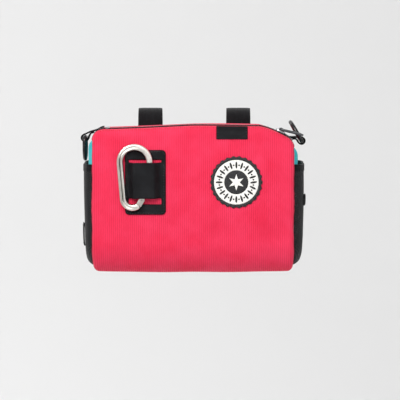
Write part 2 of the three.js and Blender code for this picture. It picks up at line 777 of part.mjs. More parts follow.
function addBarStrap(name, x) {
  const inner = BAR_RADIUS + BAR_CLEARANCE;
  const outer = inner + STRAP_THICKNESS;
  const halves = [
    ringSector(inner, outer, 0, 181),
    ringSector(inner, outer, 180, 361),
    ringSector(outer - 0.1, outer + STRAP_THICKNESS, 90 - STRAP_OVERLAP_START, STRAP_OVERLAP_END - 90),
  ];
  halves.forEach((half) => {
    half.rotateX(Math.PI / 2);
    half.rotateZ(Math.PI / 2);
  });
  const leg = new THREE.BoxGeometry(STRAP_WIDTH, STRAP_THICKNESS, STRAP_LEG);
  leg.translate(0, -(inner + STRAP_THICKNESS / 2), -STRAP_LEG / 2);
  halves.forEach((half) => {
    half.computeBoundingBox();
    half.translate(-(half.boundingBox.min.x + half.boundingBox.max.x) / 2, 0, 0);
  });
  add(`bar_strap_${name}`, join(leg, ...halves), BLACK_CLOTH).position.x = x;
}

// Ring and tab at a top corner. Both are drawn for the right end and mirrored for the left.

function ringPath() {
  const half = RING_TAB_WIDTH / 2 + RING_TAB_ROOM + RING_CORNER;
  const drop = RING_DROP - RING_BAR;
  const arc = steps(0, 180, 10).map((angle) => [
    -half * Math.cos(angle * DEGREE),
    -(drop - half) - half * Math.sin(angle * DEGREE),
  ]);
  const shoulder = half - RING_CORNER;
  const outline = [[-shoulder, 0], [-half, -RING_CORNER], ...arc, [half, -RING_CORNER], [shoulder, 0]];
  return outline.map(([y, z]) => new THREE.Vector3(0, y, z));
}

function addRing({ name, side }) {
  const group = new THREE.Group();
  const barZ = topAt(side * LIMIT) - RING_BAR_BELOW_CORNER[name];
  group.position.set(side * (HALF_WIDTH + RING_OUT), RING_Y, barZ);
  part.add(group);
  const ring = barSolid(
    ringPath(),
    new THREE.Vector3(1, 0, 0),
    chamferedSection(RING_BAR, RING_BAR),
    true,
  );
  const mesh = add(`d_ring_${name}`, ring, BLACK_PLASTIC, group);
  mesh.rotation.y = side * RING_TURNS[name] * DEGREE;
  addRingTab(name, side, group.position);
}

// The tab leaves the seam behind the zip's end, runs out and wraps once round the ring's straight bar.
function addRingTab(name, side, ringAt) {
  const radius = RING_BAR / 2 + 2 * GAP + RING_TAB_THICKNESS / 2;
  const seamTop = bagPoint(side * (HALF_WIDTH - RING_TAB_REACH), 7.5).z;
  const seam = new THREE.Vector2(
    -RING_OUT - RING_TAB_REACH,
    seamTop + TRIM_GAP + RING_TAB_THICKNESS / 2 - ringAt.z,
  );
  const wrap = steps(90, -200, 12).map((angle) =>
    new THREE.Vector2(radius * Math.cos(angle * DEGREE), radius * Math.sin(angle * DEGREE)),
  );
  const path = [seam, new THREE.Vector2(-RING_OUT * 0.45, radius + 1.2), ...wrap];
  const over = offsetProfile(path, -RING_TAB_THICKNESS / 2);
  const under = offsetProfile(path, RING_TAB_THICKNESS / 2);
  const half = RING_TAB_WIDTH / 2;
  const face = (line) =>
    [-half, half].map((y) =>
      line.map((p) => new THREE.Vector3(ringAt.x + side * p.x, ringAt.y + y, ringAt.z + p.y)),
    );
  add(`ring_tab_${name}`, wallSolid(face(over), face(under)), BLACK_CLOTH);
}

addShell();
addSlider();
ENDS.forEach(addEndPanel);
ENDS.forEach(addPocket);
TABS.forEach(addTab);
addLashTab();
addSnapHook();
addBadge();
addLabel();
addBarStrap("left", STRAP_CENTRES[0]);
addBarStrap("right", STRAP_CENTRES[1]);
ENDS.forEach(addRing);

export default part;
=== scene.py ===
"""A bicycle handlebar bag of ribbed red cloth, with teal ends, black stretch pockets, a cut lash tab
holding a snap hook, a sewn badge and two webbing loops to hang by."""

import math

import bmesh
import bpy
import numpy as np
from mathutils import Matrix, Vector


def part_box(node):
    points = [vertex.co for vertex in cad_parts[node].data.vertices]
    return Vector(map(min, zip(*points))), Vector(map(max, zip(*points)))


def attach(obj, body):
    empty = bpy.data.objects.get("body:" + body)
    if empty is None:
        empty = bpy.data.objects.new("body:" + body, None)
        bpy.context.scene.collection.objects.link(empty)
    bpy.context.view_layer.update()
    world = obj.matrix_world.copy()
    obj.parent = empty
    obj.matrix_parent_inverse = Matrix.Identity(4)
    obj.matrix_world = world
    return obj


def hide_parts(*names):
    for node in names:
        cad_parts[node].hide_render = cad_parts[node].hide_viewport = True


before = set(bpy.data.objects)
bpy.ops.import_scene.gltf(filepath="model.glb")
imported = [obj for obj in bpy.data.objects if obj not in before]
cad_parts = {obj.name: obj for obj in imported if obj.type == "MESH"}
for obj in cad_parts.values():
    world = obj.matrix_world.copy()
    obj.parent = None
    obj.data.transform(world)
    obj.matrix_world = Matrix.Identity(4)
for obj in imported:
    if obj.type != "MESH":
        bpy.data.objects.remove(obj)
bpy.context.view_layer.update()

MM = 0.001
X_AXIS = np.array([1.0, 0, 0])
Y_AXIS = np.array([0, 1.0, 0])
BODY = "bag"
GATE_BODY = "gate"

# Sizes that the frame gives

wrap_low, wrap_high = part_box("wrap_panel")
HALF_WIDTH = wrap_high.x
TOP = wrap_high.z
BOTTOM = wrap_low.z
BACK = wrap_high.y
FRONT_BULGE = 2.5 * MM
FRONT = wrap_low.y + FRONT_BULGE

# The shell's own shape. A dropped corner is given by its run along the top, its drop and a power.

RADIUS_TOP_FRONT = 9 * MM
RADIUS_BOTTOM_FRONT = 36 * MM
RADIUS_BOTTOM_BACK = 28 * MM
RADIUS_TOP_BACK = 16 * MM
END_RADIUS = 5.4 * MM
BOTTOM_SAG = 1.6 * MM
TOP_SAG_LEFT = 3 * MM
CORNER_LEFT = (13 * MM, 4.5 * MM, 2.0)
CORNER_RIGHT = (34.7 * MM, 15 * MM, 1.4)
CLOTH = 1.5 * MM
RIB_PITCH = 2.1 * MM

# The zip, with its width as a share of a station

ZIP_WIDTH = 8 * MM
ZIP_SHARE = ZIP_WIDTH / ((BACK - FRONT) - RADIUS_TOP_BACK - RADIUS_TOP_FRONT)
ZIP_START = 8 - ZIP_SHARE
ZIP_MIDDLE = ZIP_START + ZIP_SHARE / 2
ZIP_RUN = (-0.93 * HALF_WIDTH, 0.975 * HALF_WIDTH)
TAPE_THICKNESS = 0.7 * MM
TAPE_LIFT = 0.5 * MM
STOP_X = -86 * MM
STOP_SIZE = (1.6 * MM, 5.0 * MM)
STOP_REACH = 0.055
SLIDER_LIFT = 1.5 * MM
COIL_LIFT = 1.0 * MM
COIL_PITCH = 1.35 * MM
COIL_TURN = (1.25 * MM, 4.6 * MM, 1.7 * MM)


def hex_colour(text):
    """An sRGB hex colour as linear RGBA."""
    parts = [int(text[k : k + 2], 16) / 255 for k in (1, 3, 5)]
    return tuple(c / 12.92 if c <= 0.04045 else ((c + 0.055) / 1.055) ** 2.4 for c in parts) + (1.0,)


def add_node(tree, kind, inputs=None, **settings):
    """Adds a node, sets its properties, and gives each input a value or links it to an output."""
    node = tree.nodes.new(kind)
    for name, value in settings.items():
        setattr(node, name, value)
    for key, value in (inputs or {}).items():
        socket = node.inputs[key]
        if isinstance(value, bpy.types.NodeSocket):
            tree.links.new(value, socket)
        else:
            socket.default_value = value
    return node


# Mesh making


def place_object(name, data):
    """An object of the given data at the origin of the scene."""
    thing = bpy.data.objects.new(name, data)
    bpy.context.scene.collection.objects.link(thing)
    return thing


def new_object(name, vertices, faces, uvs=None):
    """An object at the origin from points and faces, with an optional UV pair for every point."""
    mesh = bpy.data.meshes.new(name)
    mesh.from_pydata([tuple(v) for v in vertices], [], [tuple(f) for f in faces])
    if uvs is not None:
        layer = mesh.uv_layers.new(name="surface")
        index = np.empty(len(mesh.loops), dtype=np.int32)
        mesh.loops.foreach_get("vertex_index", index)
        layer.data.foreach_set("uv", np.asarray(uvs, dtype=np.float32)[index].ravel())
    mesh.polygons.foreach_set("use_smooth", [True] * len(mesh.polygons))
    mesh.update()
    return place_object(name, mesh)


def grid_faces(columns, rows, wrap_columns=False, wrap_rows=False, keep=None):
    """The quads of a grid of points, each as numbers of points. keep(i, j) picks the cells to have."""
    faces = []
    for i in range(columns if wrap_columns else columns - 1):
        for j in range(rows if wrap_rows else rows - 1):
            if keep is not None and not keep(i, j):
                continue
            k, m = (i + 1) % columns, (j + 1) % rows
            faces.append((i * rows + j, i * rows + m, k * rows + m, k * rows + j))
    return faces


def grid_object(name, points, uvs=None, **how):
    """An object from a grid of points, with an optional UV pair for each."""
    columns, rows = points.shape[:2]
    flat_uvs = None if uvs is None else uvs.reshape(-1, 2)
    return new_object(name, points.reshape(-1, 3), grid_faces(columns, rows, **how), flat_uvs)


def apply_modifiers(thing):
    """Turns an object with modifiers into the plain mesh that they give."""
    graph = bpy.context.evaluated_depsgraph_get()
    graph.update()
    mesh = bpy.data.meshes.new_from_object(thing.evaluated_get(graph))
    thing.modifiers.clear()
    thing.data = mesh
    mesh.polygons.foreach_set("use_smooth", [True] * len(mesh.polygons))
    return thing


def thicken(thing, thickness, levels=0):
    """Gives a sheet its thickness inwards, and rounds it by levels of subdivision."""
    wall = thing.modifiers.new("wall", "SOLIDIFY")
    wall.thickness = thickness
    wall.offset = -1.0
    if levels:
        smooth = thing.modifiers.new("smooth", "SUBSURF")
        smooth.levels = smooth.render_levels = levels
    return apply_modifiers(thing)


def face_outwards(thing):
    """Recalculates the normals of a closed mesh whose doubles are merged."""
    work = bmesh.new()
    work.from_mesh(thing.data)
    bmesh.ops.remove_doubles(work, verts=work.verts, dist=1e-7)
    bmesh.ops.recalc_face_normals(work, faces=work.faces)
    work.to_mesh(thing.data)
    work.free()
    return thing


def shade_by_angle(thing, degrees=35):
    """Keeps crisp edges crisp and the rest smooth."""
    work = bmesh.new()
    work.from_mesh(thing.data)
    for edge in work.edges:
        edge.smooth = len(edge.link_faces) != 2 or edge.calc_face_angle(0) < math.radians(degrees)
    work.to_mesh(thing.data)
    work.free()
    return thing


def finish_piece(thing, material, body=BODY, replaces=()):
    """Dresses a piece, puts it on its body, and hides the solids that it stands for."""
    thing.data.materials.clear()
    thing.data.materials.append(material)
    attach(thing, body)
    if replaces:
        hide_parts(*replaces)
    return thing


def join_pieces(name, pieces):
    """Joins several plain objects into one."""
    work = bmesh.new()
    for piece in pieces:
        work.from_mesh(piece.data)
    mesh = bpy.data.meshes.new(name)
    work.to_mesh(mesh)
    work.free()
    for piece in pieces:
        bpy.data.objects.remove(piece)
    return place_object(name, mesh)


def sweep(name, path, sideways, section_at, closed=False):
    """A bar along a path. section_at(k) gives its outline as (across, sideways) pairs at point k."""
    count = len(path)
    rings = []
    for k in range(count):
        before = path[(k - 1) % count] if closed else path[max(k - 1, 0)]
        after = path[(k + 1) % count] if closed else path[min(k + 1, count - 1)]
        along = (after - before) / np.linalg.norm(after - before)
        across = np.cross(sideways, along)
        across /= np.linalg.norm(across)
        section = section_at(k)
        rings.append(path[k] + section[:, :1] * across + section[:, 1:] * sideways)
    points = np.array(rings)
    sides = points.shape[1]
    faces = grid_faces(count, sides, wrap_columns=closed, wrap_rows=True)
    if not closed:
        faces.append(tuple(range(sides)))
        faces.append(tuple((count - 1) * sides + s for s in reversed(range(sides))))
    return face_outwards(new_object(name, points.reshape(-1, 3), faces))


def stepped(stops, cells):
    """Numbers or points that run through the stops, with so many even steps between each two."""
    stops = np.asarray(stops, float)
    legs = [np.linspace(a, b, n + 1)[:-1] for a, b, n in zip(stops[:-1], stops[1:], cells)]
    return np.concatenate([*legs, stops[-1:]])


def running_length(points):
    """How far along a path each of its points lies."""
    return np.concatenate([[0], np.cumsum(np.linalg.norm(np.diff(points, axis=0), axis=1))])


def smooth_path(points, count):
    """A soft curve through given points, sampled evenly."""
    for _ in range(3):
        cut = np.empty((2 * len(points) - 2, points.shape[1]))
        cut[0::2] = points[:-1] * 0.75 + points[1:] * 0.25
        cut[1::2] = points[:-1] * 0.25 + points[1:] * 0.75
        points = np.vstack([points[:1], cut, points[-1:]])
    length = running_length(points)
    marks = np.linspace(0, length[-1], count)
    return np.stack([np.interp(marks, length, points[:, k]) for k in range(points.shape[1])], axis=1)


def arc_path(radius, start, end, count):
    """Points on an arc about the origin, from one angle in degrees to another."""
    turn = np.radians(np.linspace(start, end, count))
    return np.stack([radius * np.cos(turn), radius * np.sin(turn)], axis=1)


def closed_band(name, outer, inner, across, along):
    """A flat band between two facing grids of points, closed at its edges and ends. Its map is in
    metres: across gives the place of each column, along that of each row."""
    points = np.concatenate([outer, inner[::-1]], axis=0)
    around = np.concatenate([across, across[::-1]])
    uvs = np.stack(np.broadcast_arrays(around[:, None], along[None, :]), axis=-1)
    count, rows = points.shape[:2]
    faces = grid_faces(count, rows, wrap_columns=True)
    faces.append(tuple(i * rows for i in reversed(range(count))))
    faces.append(tuple(i * rows + rows - 1 for i in range(count)))
    band = new_object(name, points.reshape(-1, 3), faces, uvs.reshape(-1, 2))
    return shade_by_angle(face_outwards(band), 60)


def rounded_section(width, depth, power=4.0, sides=20):
    """A superellipse outline: power 2 is an ellipse, and higher ones have squarer corners."""
    turn = np.linspace(0, 2 * math.pi, sides, endpoint=False)
    across = np.sign(np.cos(turn)) * np.abs(np.cos(turn)) ** (2 / power) * width / 2
    deep = np.sign(np.sin(turn)) * np.abs(np.sin(turn)) ** (2 / power) * depth / 2
    return np.stack([across, deep], axis=1)


# The bag's surface. A station runs once round its cross-section, as in the model: 0 to 1 is the top
# front corner, 1 to 2 the front, and so on through the bottom, the back and the top.


def corner_drop(x):
    """How far the top edge has dropped at x, towards each end."""
    run = np.where(x < 0, CORNER_LEFT[0], CORNER_RIGHT[0])
    drop = np.where(x < 0, CORNER_LEFT[1], CORNER_RIGHT[1])
    power = np.where(x < 0, CORNER_LEFT[2], CORNER_RIGHT[2])
    share = np.clip((np.minimum(np.abs(x), HALF_WIDTH) - (HALF_WIDTH - run)) / run, 0, 1)
    return drop * share**power


def top_at(x):
    """The height of the top edge at x."""
    return TOP - TOP_SAG_LEFT * np.clip(-x / HALF_WIDTH, 0, 1) - corner_drop(x)


def fullness(x):
    """1 in the middle of the bag and 0 at its ends."""
    return 1 - np.clip(np.abs(x) / HALF_WIDTH, 0, 1) ** 4


def bag_point(x, station, inset):
    """Points of the shell's outside. The three arguments are arrays that broadcast together."""
    x, station, inset = np.broadcast_arrays(*(np.asarray(a, float) for a in (x, station, inset)))
    top = top_at(x) - inset
    bottom = BOTTOM - BOTTOM_SAG * (fullness(x) - 1) + inset
    front, back = FRONT + inset, BACK - inset
    corners = [
        (front, top, RADIUS_TOP_FRONT - inset, 1, -1, 90),
        (front, bottom, RADIUS_BOTTOM_FRONT - inset, 1, 1, 180),
        (back, bottom, RADIUS_BOTTOM_BACK - inset, -1, 1, 270),
        (back, top, RADIUS_TOP_BACK - inset, -1, -1, 360),
    ]

    def on_corner(leg, share):
        """The depth and height at a share of the way round a corner."""
        y, z, radius, to_back, up, turn = corners[leg]
        angle = np.radians(turn + 90 * share)
        return (
            y + to_back * radius + radius * np.cos(angle),
            z + up * radius + radius * np.sin(angle),
        )

    place = np.mod(station, 8)
    y, z = np.zeros_like(x), np.zeros_like(x)
    for leg in range(4):
        share = place - 2 * leg
        y_arc, z_arc = on_corner(leg, np.clip(share, 0, 1))
        y_from, z_from = on_corner(leg, np.ones_like(x))
        y_to, z_to = on_corner((leg + 1) % 4, np.zeros_like(x))
        along = np.clip(share - 1, 0, 1)
        swell = FRONT_BULGE * fullness(x) * (1 - (2 * along - 1) ** 4) ** 2 if leg == 0 else 0
        on_arc = (share >= 0) & (share <= 1)
        on_side = (share > 1) & (share < 2)
        y = np.where(on_arc, y_arc, np.where(on_side, y_from + (y_to - y_from) * along - swell, y))
        z = np.where(on_arc, z_arc, np.where(on_side, z_from + (z_to - z_from) * along, z))
    return np.stack([x, y, z], axis=-1)


def end_inset(x):
    """How far the shell has turned in at x, near its ends."""
    past = np.clip(np.abs(x) - (HALF_WIDTH - END_RADIUS), 0, END_RADIUS * 0.999)
    return END_RADIUS - np.sqrt(END_RADIUS**2 - past**2)


def cloth_ripple(points):
    """The unevenness of stuffed cloth: long soft waves and a few slanting folds, calm behind the lash
    tab, with short puckers near the end seams."""
    x, y, z = points[..., 0], points[..., 1], points[..., 2]
    waves = 0.3 * np.sin(34 * x + 21 * z + 0.7) + 0.22 * np.sin(-47 * x + 38 * z + 11 * y + 2.1)
    folds = 0.3 * np.sin(95 * x - 70 * z + 1.1 * np.sin(40 * z)) * np.exp(-(((z + 0.11) / 0.045) ** 2))
    folds = folds + 0.16 * np.sin(150 * z + 60 * y + 1.7 * np.sin(31 * x) + 0.4)
    calm = 1 - 0.85 * np.exp(-(((x + 0.048) / 0.035) ** 2) - ((z + 0.05) / 0.045) ** 2)
    near_end = np.exp(-(HALF_WIDTH - np.abs(x)) / (9 * MM))
    puckers = 0.13 * near_end * np.sin(560 * z + 430 * y + 2.0 * np.sin(90 * z))
    return ((waves + folds) * calm + puckers) * MM


def grid_normals(points):
    """Unit normals of a grid of points, from its own differences."""
    normals = np.cross(np.gradient(points, axis=1), np.gradient(points, axis=0))
    return normals / np.maximum(np.linalg.norm(normals, axis=-1, keepdims=True), 1e-12)


def shell_point(x, station):
    """Points of the shell's outside, turned in near its ends."""
    return bag_point(x, station, end_inset(x))


def lifted(x, station, lift):
    """Points that stand off the shell's surface by lift, with its ripple, and the normals there."""
    x, station = np.broadcast_arrays(np.asarray(x, float), np.asarray(station, float))
    small = 0.02 * MM
    turn = 0.002
    at = shell_point(x, station)
    along = shell_point(x + small, station) - shell_point(x - small, station)
    around = shell_point(x, station + turn) - shell_point(x, station - turn)
    normal = np.cross(around, along)
    normal /= np.linalg.norm(normal, axis=-1, keepdims=True)
    return at + normal * (cloth_ripple(at) + lift)[..., None], normal


def front_station(x, z):
    """The station on the front at a height."""
    high = bag_point(x, 1.0, 0.0)[..., 2]
    low = bag_point(x, 1.9999, 0.0)[..., 2]
    return 1 + (z - high) / (low - high)


def on_front(x, z, lift):
    """Points that stand off the front by lift."""
    return lifted(x, front_station(x, z), lift)[0]


def lengths(points):
    """How far down its column each grid point lies, for UVs in metres."""
    step = np.linalg.norm(np.diff(points, axis=1), axis=-1)
    return np.pad(np.cumsum(step, axis=1), ((0, 0), (1, 0)))


# Materials. Patterns read the piece's own map or its place, both in metres.

WAVE = math.pi / 10  # a wave texture whose scale is this over a pitch repeats once every pitch


def new_material(name):
    """A material with an empty node tree."""
    material = bpy.data.materials.new(name)
    material.use_nodes = True
    material.node_tree.nodes.clear()
    return material, material.node_tree


def woven_material(name, dark, light, valley_shade, rib_pitch, thread_pitch, relief, roughness, sheen):
    """Woven cloth: ribs run one way on the piece's map and finer threads cross them. The dye is
    blotchy over about 28 mm, the nap is fuzzy, and the valleys between the ribs are darkened with
    painted shade."""
    material, tree = new_material(name)
    surface = add_node(tree, "ShaderNodeTexCoord").outputs["UV"]
    ribs, threads = (
        add_node(
            tree,
            "ShaderNodeTexWave",
            {"Vector": surface, "Scale": WAVE / pitch, "Distortion": 0.0},
            bands_direction=way,
        ).outputs["Fac"]
        for pitch, way in ((rib_pitch, "X"), (thread_pitch, "Y"))
    )
    blotches, nap = (
        add_node(
            tree, "ShaderNodeTexNoise", {"Vector": surface, "Scale": 1 / size, "Detail": detail}
        ).outputs["Fac"]
        for size, detail in ((28 * MM, 3.0), (1.3 * MM, 2.0))
    )
    tone = add_node(
        tree, "ShaderNodeMapRange", {"Value": blotches, "From Min": 0.3, "From Max": 0.7}
    ).outputs[0]
    dye = add_node(
        tree, "ShaderNodeMix", {0: tone, 6: hex_colour(dark), 7: hex_colour(light)}, data_type="RGBA"
    ).outputs[2]
    # Painted shade: each rib valley turns towards the valley shade colour, and the nap darkens it a little
    # at random
    deep = add_node(
        tree, "ShaderNodeMath", {0: ribs, 1: -0.36, 2: 0.36}, operation="MULTIPLY_ADD"
    ).outputs[0]
    shade = add_node(
        tree, "ShaderNodeMath", {0: nap, 1: 0.16, 2: deep}, operation="MULTIPLY_ADD"
    ).outputs[0]
    colour = add_node(
        tree, "ShaderNodeMix", {0: shade, 6: dye, 7: hex_colour(valley_shade)}, data_type="RGBA"
    ).outputs[2]
    woven = add_node(
        tree, "ShaderNodeMath", {0: threads, 1: 0.22, 2: ribs}, operation="MULTIPLY_ADD"
    ).outputs[0]
    height = add_node(
        tree, "ShaderNodeMath", {0: nap, 1: 0.3, 2: woven}, operation="MULTIPLY_ADD"
    ).outputs[0]
    bump = add_node(tree, "ShaderNodeBump", {"Height": height, "Strength": 0.9, "Distance": relief})
    shader = add_node(
        tree,
        "ShaderNodeBsdfPrincipled",
        {
            "Base Color": colour,
            "Roughness": roughness,
            "IOR": 1.53,
            "Specular IOR Level": 0.1,
            "Sheen Weight": sheen,
            "Sheen Roughness": 0.45,
            "Normal": bump.outputs[0],
        },
    )
    add_node(tree, "ShaderNodeOutputMaterial", {"Surface": shader.outputs[0]})
    return material


def knit_material():
    """Knitted elastane mesh: rows of small loops with painted shade, near black, in the holes between
    them, which give the eye a soft, deep black. The loops are 1.6 mm apart, coarser than the real
    1 mm, so that they show."""
    loop_pitch = 1.6 * MM
    material, tree = new_material("knitted_elastane_mesh")
    surface = add_node(tree, "ShaderNodeTexCoord").outputs["UV"]
    turned = add_node(
        tree, "ShaderNodeMapping", {"Vector": surface, "Rotation": (0, 0, math.radians(45))}
    ).outputs[0]
    courses, wales = (
        add_node(
            tree,
            "ShaderNodeTexWave",
            {"Vector": turned, "Scale": WAVE / loop_pitch, "Distortion": 0.0},
            bands_direction=way,
        ).outputs["Fac"]
        for way in "XY"
    )
    loops = add_node(tree, "ShaderNodeMath", {0: courses, 1: wales}, operation="MULTIPLY").outputs[0]
    patches = add_node(
        tree, "ShaderNodeTexNoise", {"Vector": surface, "Scale": 1 / (20 * MM)}
    ).outputs["Fac"]
    tone = add_node(
        tree, "ShaderNodeMapRange", {"Value": patches, "From Min": 0.3, "From Max": 0.7}
    ).outputs[0]
    yarn = add_node(
        tree,
        "ShaderNodeMix",
        {0: tone, 6: hex_colour("#18191D"), 7: hex_colour("#25262B")},
        data_type="RGBA",
    ).outputs[2]
    # Painted shade: the holes between the loops are near black
    colour = add_node(
        tree, "ShaderNodeMix", {0: loops, 6: hex_colour("#08080A"), 7: yarn}, data_type="RGBA"
    ).outputs[2]
    bump = add_node(tree, "ShaderNodeBump", {"Height": loops, "Strength": 0.9, "Distance": 0.35 * MM})
    shader = add_node(
        tree,
        "ShaderNodeBsdfPrincipled",
        {
            "Base Color": colour,
            "Roughness": 0.8,
            "IOR": 1.5,
            "Specular IOR Level": 0.35,
            "Sheen Weight": 0.12,
            "Sheen Roughness": 0.4,
            "Normal": bump.outputs[0],
        },
    )
    add_node(tree, "ShaderNodeOutputMaterial", {"Surface": shader.outputs[0]})
    return material


def laminate_material():
    """Die-cut cloth laminate with a rubbery coat: a flat matt black whose pebbles, about 0.9 mm across,
    break up the light, with paler scuffs that are also a little smoother."""
    material, tree = new_material("polyurethane_coated_laminate")
    place = add_node(tree, "ShaderNodeTexCoord").outputs["Object"]
    pebbles, scuffs = (
        add_node(
            tree, "ShaderNodeTexNoise", {"Vector": place, "Scale": 1 / size, "Detail": detail}
        ).outputs["Fac"]
        for size, detail in ((0.9 * MM, 3.0), (14 * MM, 5.0))
    )
    tone = add_node(
        tree, "ShaderNodeMapRange", {"Value": scuffs, "From Min": 0.35, "From Max": 0.75}
    ).outputs[0]
    colour = add_node(
        tree,
        "ShaderNodeMix",
        {0: tone, 6: hex_colour("#131315"), 7: hex_colour("#1E1F22")},
        data_type="RGBA",
    ).outputs[2]
    rough = add_node(tree, "ShaderNodeMapRange", {"Value": tone, "To Min": 0.74, "To Max": 0.6}).outputs[0]
    bump = add_node(tree, "ShaderNodeBump", {"Height": pebbles, "Strength": 0.5, "Distance": 0.12 * MM})
    shader = add_node(
        tree,
        "ShaderNodeBsdfPrincipled",
        {
            "Base Color": colour,
            "Roughness": rough,
            "IOR": 1.5,
            "Specular IOR Level": 0.1,
            "Normal": bump.outputs[0],
        },
    )
    add_node(tree, "ShaderNodeOutputMaterial", {"Surface": shader.outputs[0]})
    return material


def metal_material(name, dark, light, roughness, pit_size):
    """Bare metal: soft pits of the given size spread its highlights, and its tone drifts over 9 mm."""
    material, tree = new_material(name)
    place = add_node(tree, "ShaderNodeTexCoord").outputs["Object"]
    drift, pits = (
        add_node(
            tree, "ShaderNodeTexNoise", {"Vector": place, "Scale": 1 / size, "Detail": detail}
        ).outputs["Fac"]
        for size, detail in ((9 * MM, 4.0), (pit_size, 3.0))
    )
    tone = add_node(
        tree, "ShaderNodeMapRange", {"Value": drift, "From Min": 0.35, "From Max": 0.7}
    ).outputs[0]
    colour = add_node(
        tree, "ShaderNodeMix", {0: tone, 6: hex_colour(dark), 7: hex_colour(light)}, data_type="RGBA"
    ).outputs[2]
    rough = add_node(
        tree, "ShaderNodeMapRange", {"Value": pits, "To Min": roughness - 0.06, "To Max": roughness + 0.1}
    ).outputs[0]
    bump = add_node(tree, "ShaderNodeBump", {"Height": pits, "Strength": 0.35, "Distance": 0.06 * MM})
    shader = add_node(
        tree,
        "ShaderNodeBsdfPrincipled",
        {"Base Color": colour, "Metallic": 1.0, "Roughness": rough, "Normal": bump.outputs[0]},
    )
    add_node(tree, "ShaderNodeOutputMaterial", {"Surface": shader.outputs[0]})
    return material


def moulded_material(name, dark, light, roughness, index):
    """Moulded plastic: an even gloss with the fine grain of a spark-eroded mould, drawn at 0.5 mm."""
    material, tree = new_material(name)
    place = add_node(tree, "ShaderNodeTexCoord").outputs["Object"]
    grain, flow = (
        add_node(
            tree, "ShaderNodeTexNoise", {"Vector": place, "Scale": 1 / size, "Detail": 2.0}
        ).outputs["Fac"]
        for size in (0.5 * MM, 12 * MM)
    )
    colour = add_node(
        tree, "ShaderNodeMix", {0: flow, 6: hex_colour(dark), 7: hex_colour(light)}, data_type="RGBA"
    ).outputs[2]
    bump = add_node(tree, "ShaderNodeBump", {"Height": grain, "Strength": 0.3, "Distance": 0.05 * MM})
    shader = add_node(
        tree,
        "ShaderNodeBsdfPrincipled",
        {"Base Color": colour, "Roughness": roughness, "IOR": index, "Normal": bump.outputs[0]},
    )
    add_node(tree, "ShaderNodeOutputMaterial", {"Surface": shader.outputs[0]})
    return material


def thread_material(name, dark, light, strand_pitch, sheen):
    """Spun thread lying in close slanted strands, with a painted highlight along their crests and
    painted shade between them.
    """
    material, tree = new_material(name)
    place = add_node(tree, "ShaderNodeTexCoord").outputs["Object"]
    strands = add_node(
        tree,
        "ShaderNodeTexWave",
        {"Vector": place, "Scale": WAVE / strand_pitch, "Distortion": 0.6, "Detail": 1.0},
        bands_direction="DIAGONAL",
    ).outputs["Fac"]
    # Painted highlight and shade: the light colour lies on the strands' crests, the dark one between them
    colour = add_node(
        tree, "ShaderNodeMix", {0: strands, 6: hex_colour(dark), 7: hex_colour(light)}, data_type="RGBA"
    ).outputs[2]
    bump = add_node(tree, "ShaderNodeBump", {"Height": strands, "Strength": 0.7, "Distance": 0.15 * MM})
    shader = add_node(
        tree,
        "ShaderNodeBsdfPrincipled",
        {
            "Base Color": colour,
            "Roughness": 0.6,
            "IOR": 1.53,
            "Sheen Weight": sheen,
            "Sheen Roughness": 0.3,
            "Normal": bump.outputs[0],
        },
    )
    add_node(tree, "ShaderNodeOutputMaterial", {"Surface": shader.outputs[0]})
    return material


# Piece-dyed polyamide with a raised rib every 2.1 mm: a matt, full red, with painted shade in each valley
RED_CLOTH = woven_material(
    "ribbed_polyamide_dyed_red", "#E62F50", "#F24064", "#B4162F", RIB_PITCH, 1.1 * MM, 0.3 * MM, 0.82, 0.05
)
# Plain-woven polyamide with a thin coat: smoother and a touch shinier than the ribbed cloth
TEAL_CLOTH = woven_material(
    "coated_polyamide_teal", "#2DB3BC", "#3CC4CC", "#157C86", 1.2 * MM, 1.2 * MM, 0.15 * MM, 0.7, 0.2
)
# Densely woven polyester tape: flat and dull, so that the zip reads as a thin black line
TAPE_CLOTH = woven_material(
    "woven_polyester_tape", "#0C0C0E", "#131316", "#040405", 0.9 * MM, 0.9 * MM, 0.15 * MM, 0.85, 0.1
)
# Shuttle-woven polyamide webbing: strong ribs and a faint sheen along them
WEBBING = woven_material(
    "woven_polyamide_webbing", "#0E0E11", "#16171A", "#040405", 1.6 * MM, 1.3 * MM, 0.35 * MM, 0.7, 0.12
)
KNIT = knit_material()
LAMINATE = laminate_material()
# Forged aluminium, tumbled in stones: silvery white with wide soft highlights
ALUMINIUM = metal_material("tumbled_forged_aluminium", "#D2CEC6", "#EDE9E2", 0.34, 0.7 * MM)
# The same metal in the bar's groove, where tumbling doesn't reach: rougher, and grey and dark as painted
# shade
GROOVE_SHADE_ALUMINIUM = metal_material("forged_aluminium_painted_groove_shade", "#3E3D3A", "#6E6C67", 0.6, 0.9 * MM)
# Die-cast zinc with bright nickel on it: greyer and sharper than the aluminium
NICKEL = metal_material("nickel_plated_zinc", "#8F9194", "#B9BABC", 0.28, 0.5 * MM)
# Moulded acetal: a waxy, slippery black gloss
ACETAL = moulded_material("moulded_acetal_black", "#08080A", "#121316", 0.26, 1.48)
# The same plastic through-coloured grey, with a duller mould
GREY_ACETAL = moulded_material("moulded_acetal_grey", "#26282B", "#3A3C40", 0.38, 1.48)
# Extruded polyester filament wound into a coil: small glints on each turn
COIL = moulded_material("extruded_polyester_coil", "#101114", "#1E1F23", 0.35, 1.57)
# Rayon in satin stitch: a bright silky white. Its strands are 0.8 mm apart, twice the real spacing,
# so that they show
WHITE_THREAD = thread_material("rayon_satin_stitch_white", "#D9D8D3", "#FAF9F5", 0.8 * MM, 0.4)
# The same stitch in black
BLACK_THREAD = thread_material("rayon_satin_stitch_black", "#060607", "#1C1C1F", 0.8 * MM, 0.4)
# Bonded polyester sewing thread, dyed to match the cloth: a tight, slightly lighter line
RED_THREAD = thread_material("bonded_polyester_thread_red", "#C41C38", "#F2405E", 0.5 * MM, 0.4)


# Rows of small repeated shapes along a path: stitches, zip teeth and sewn marks


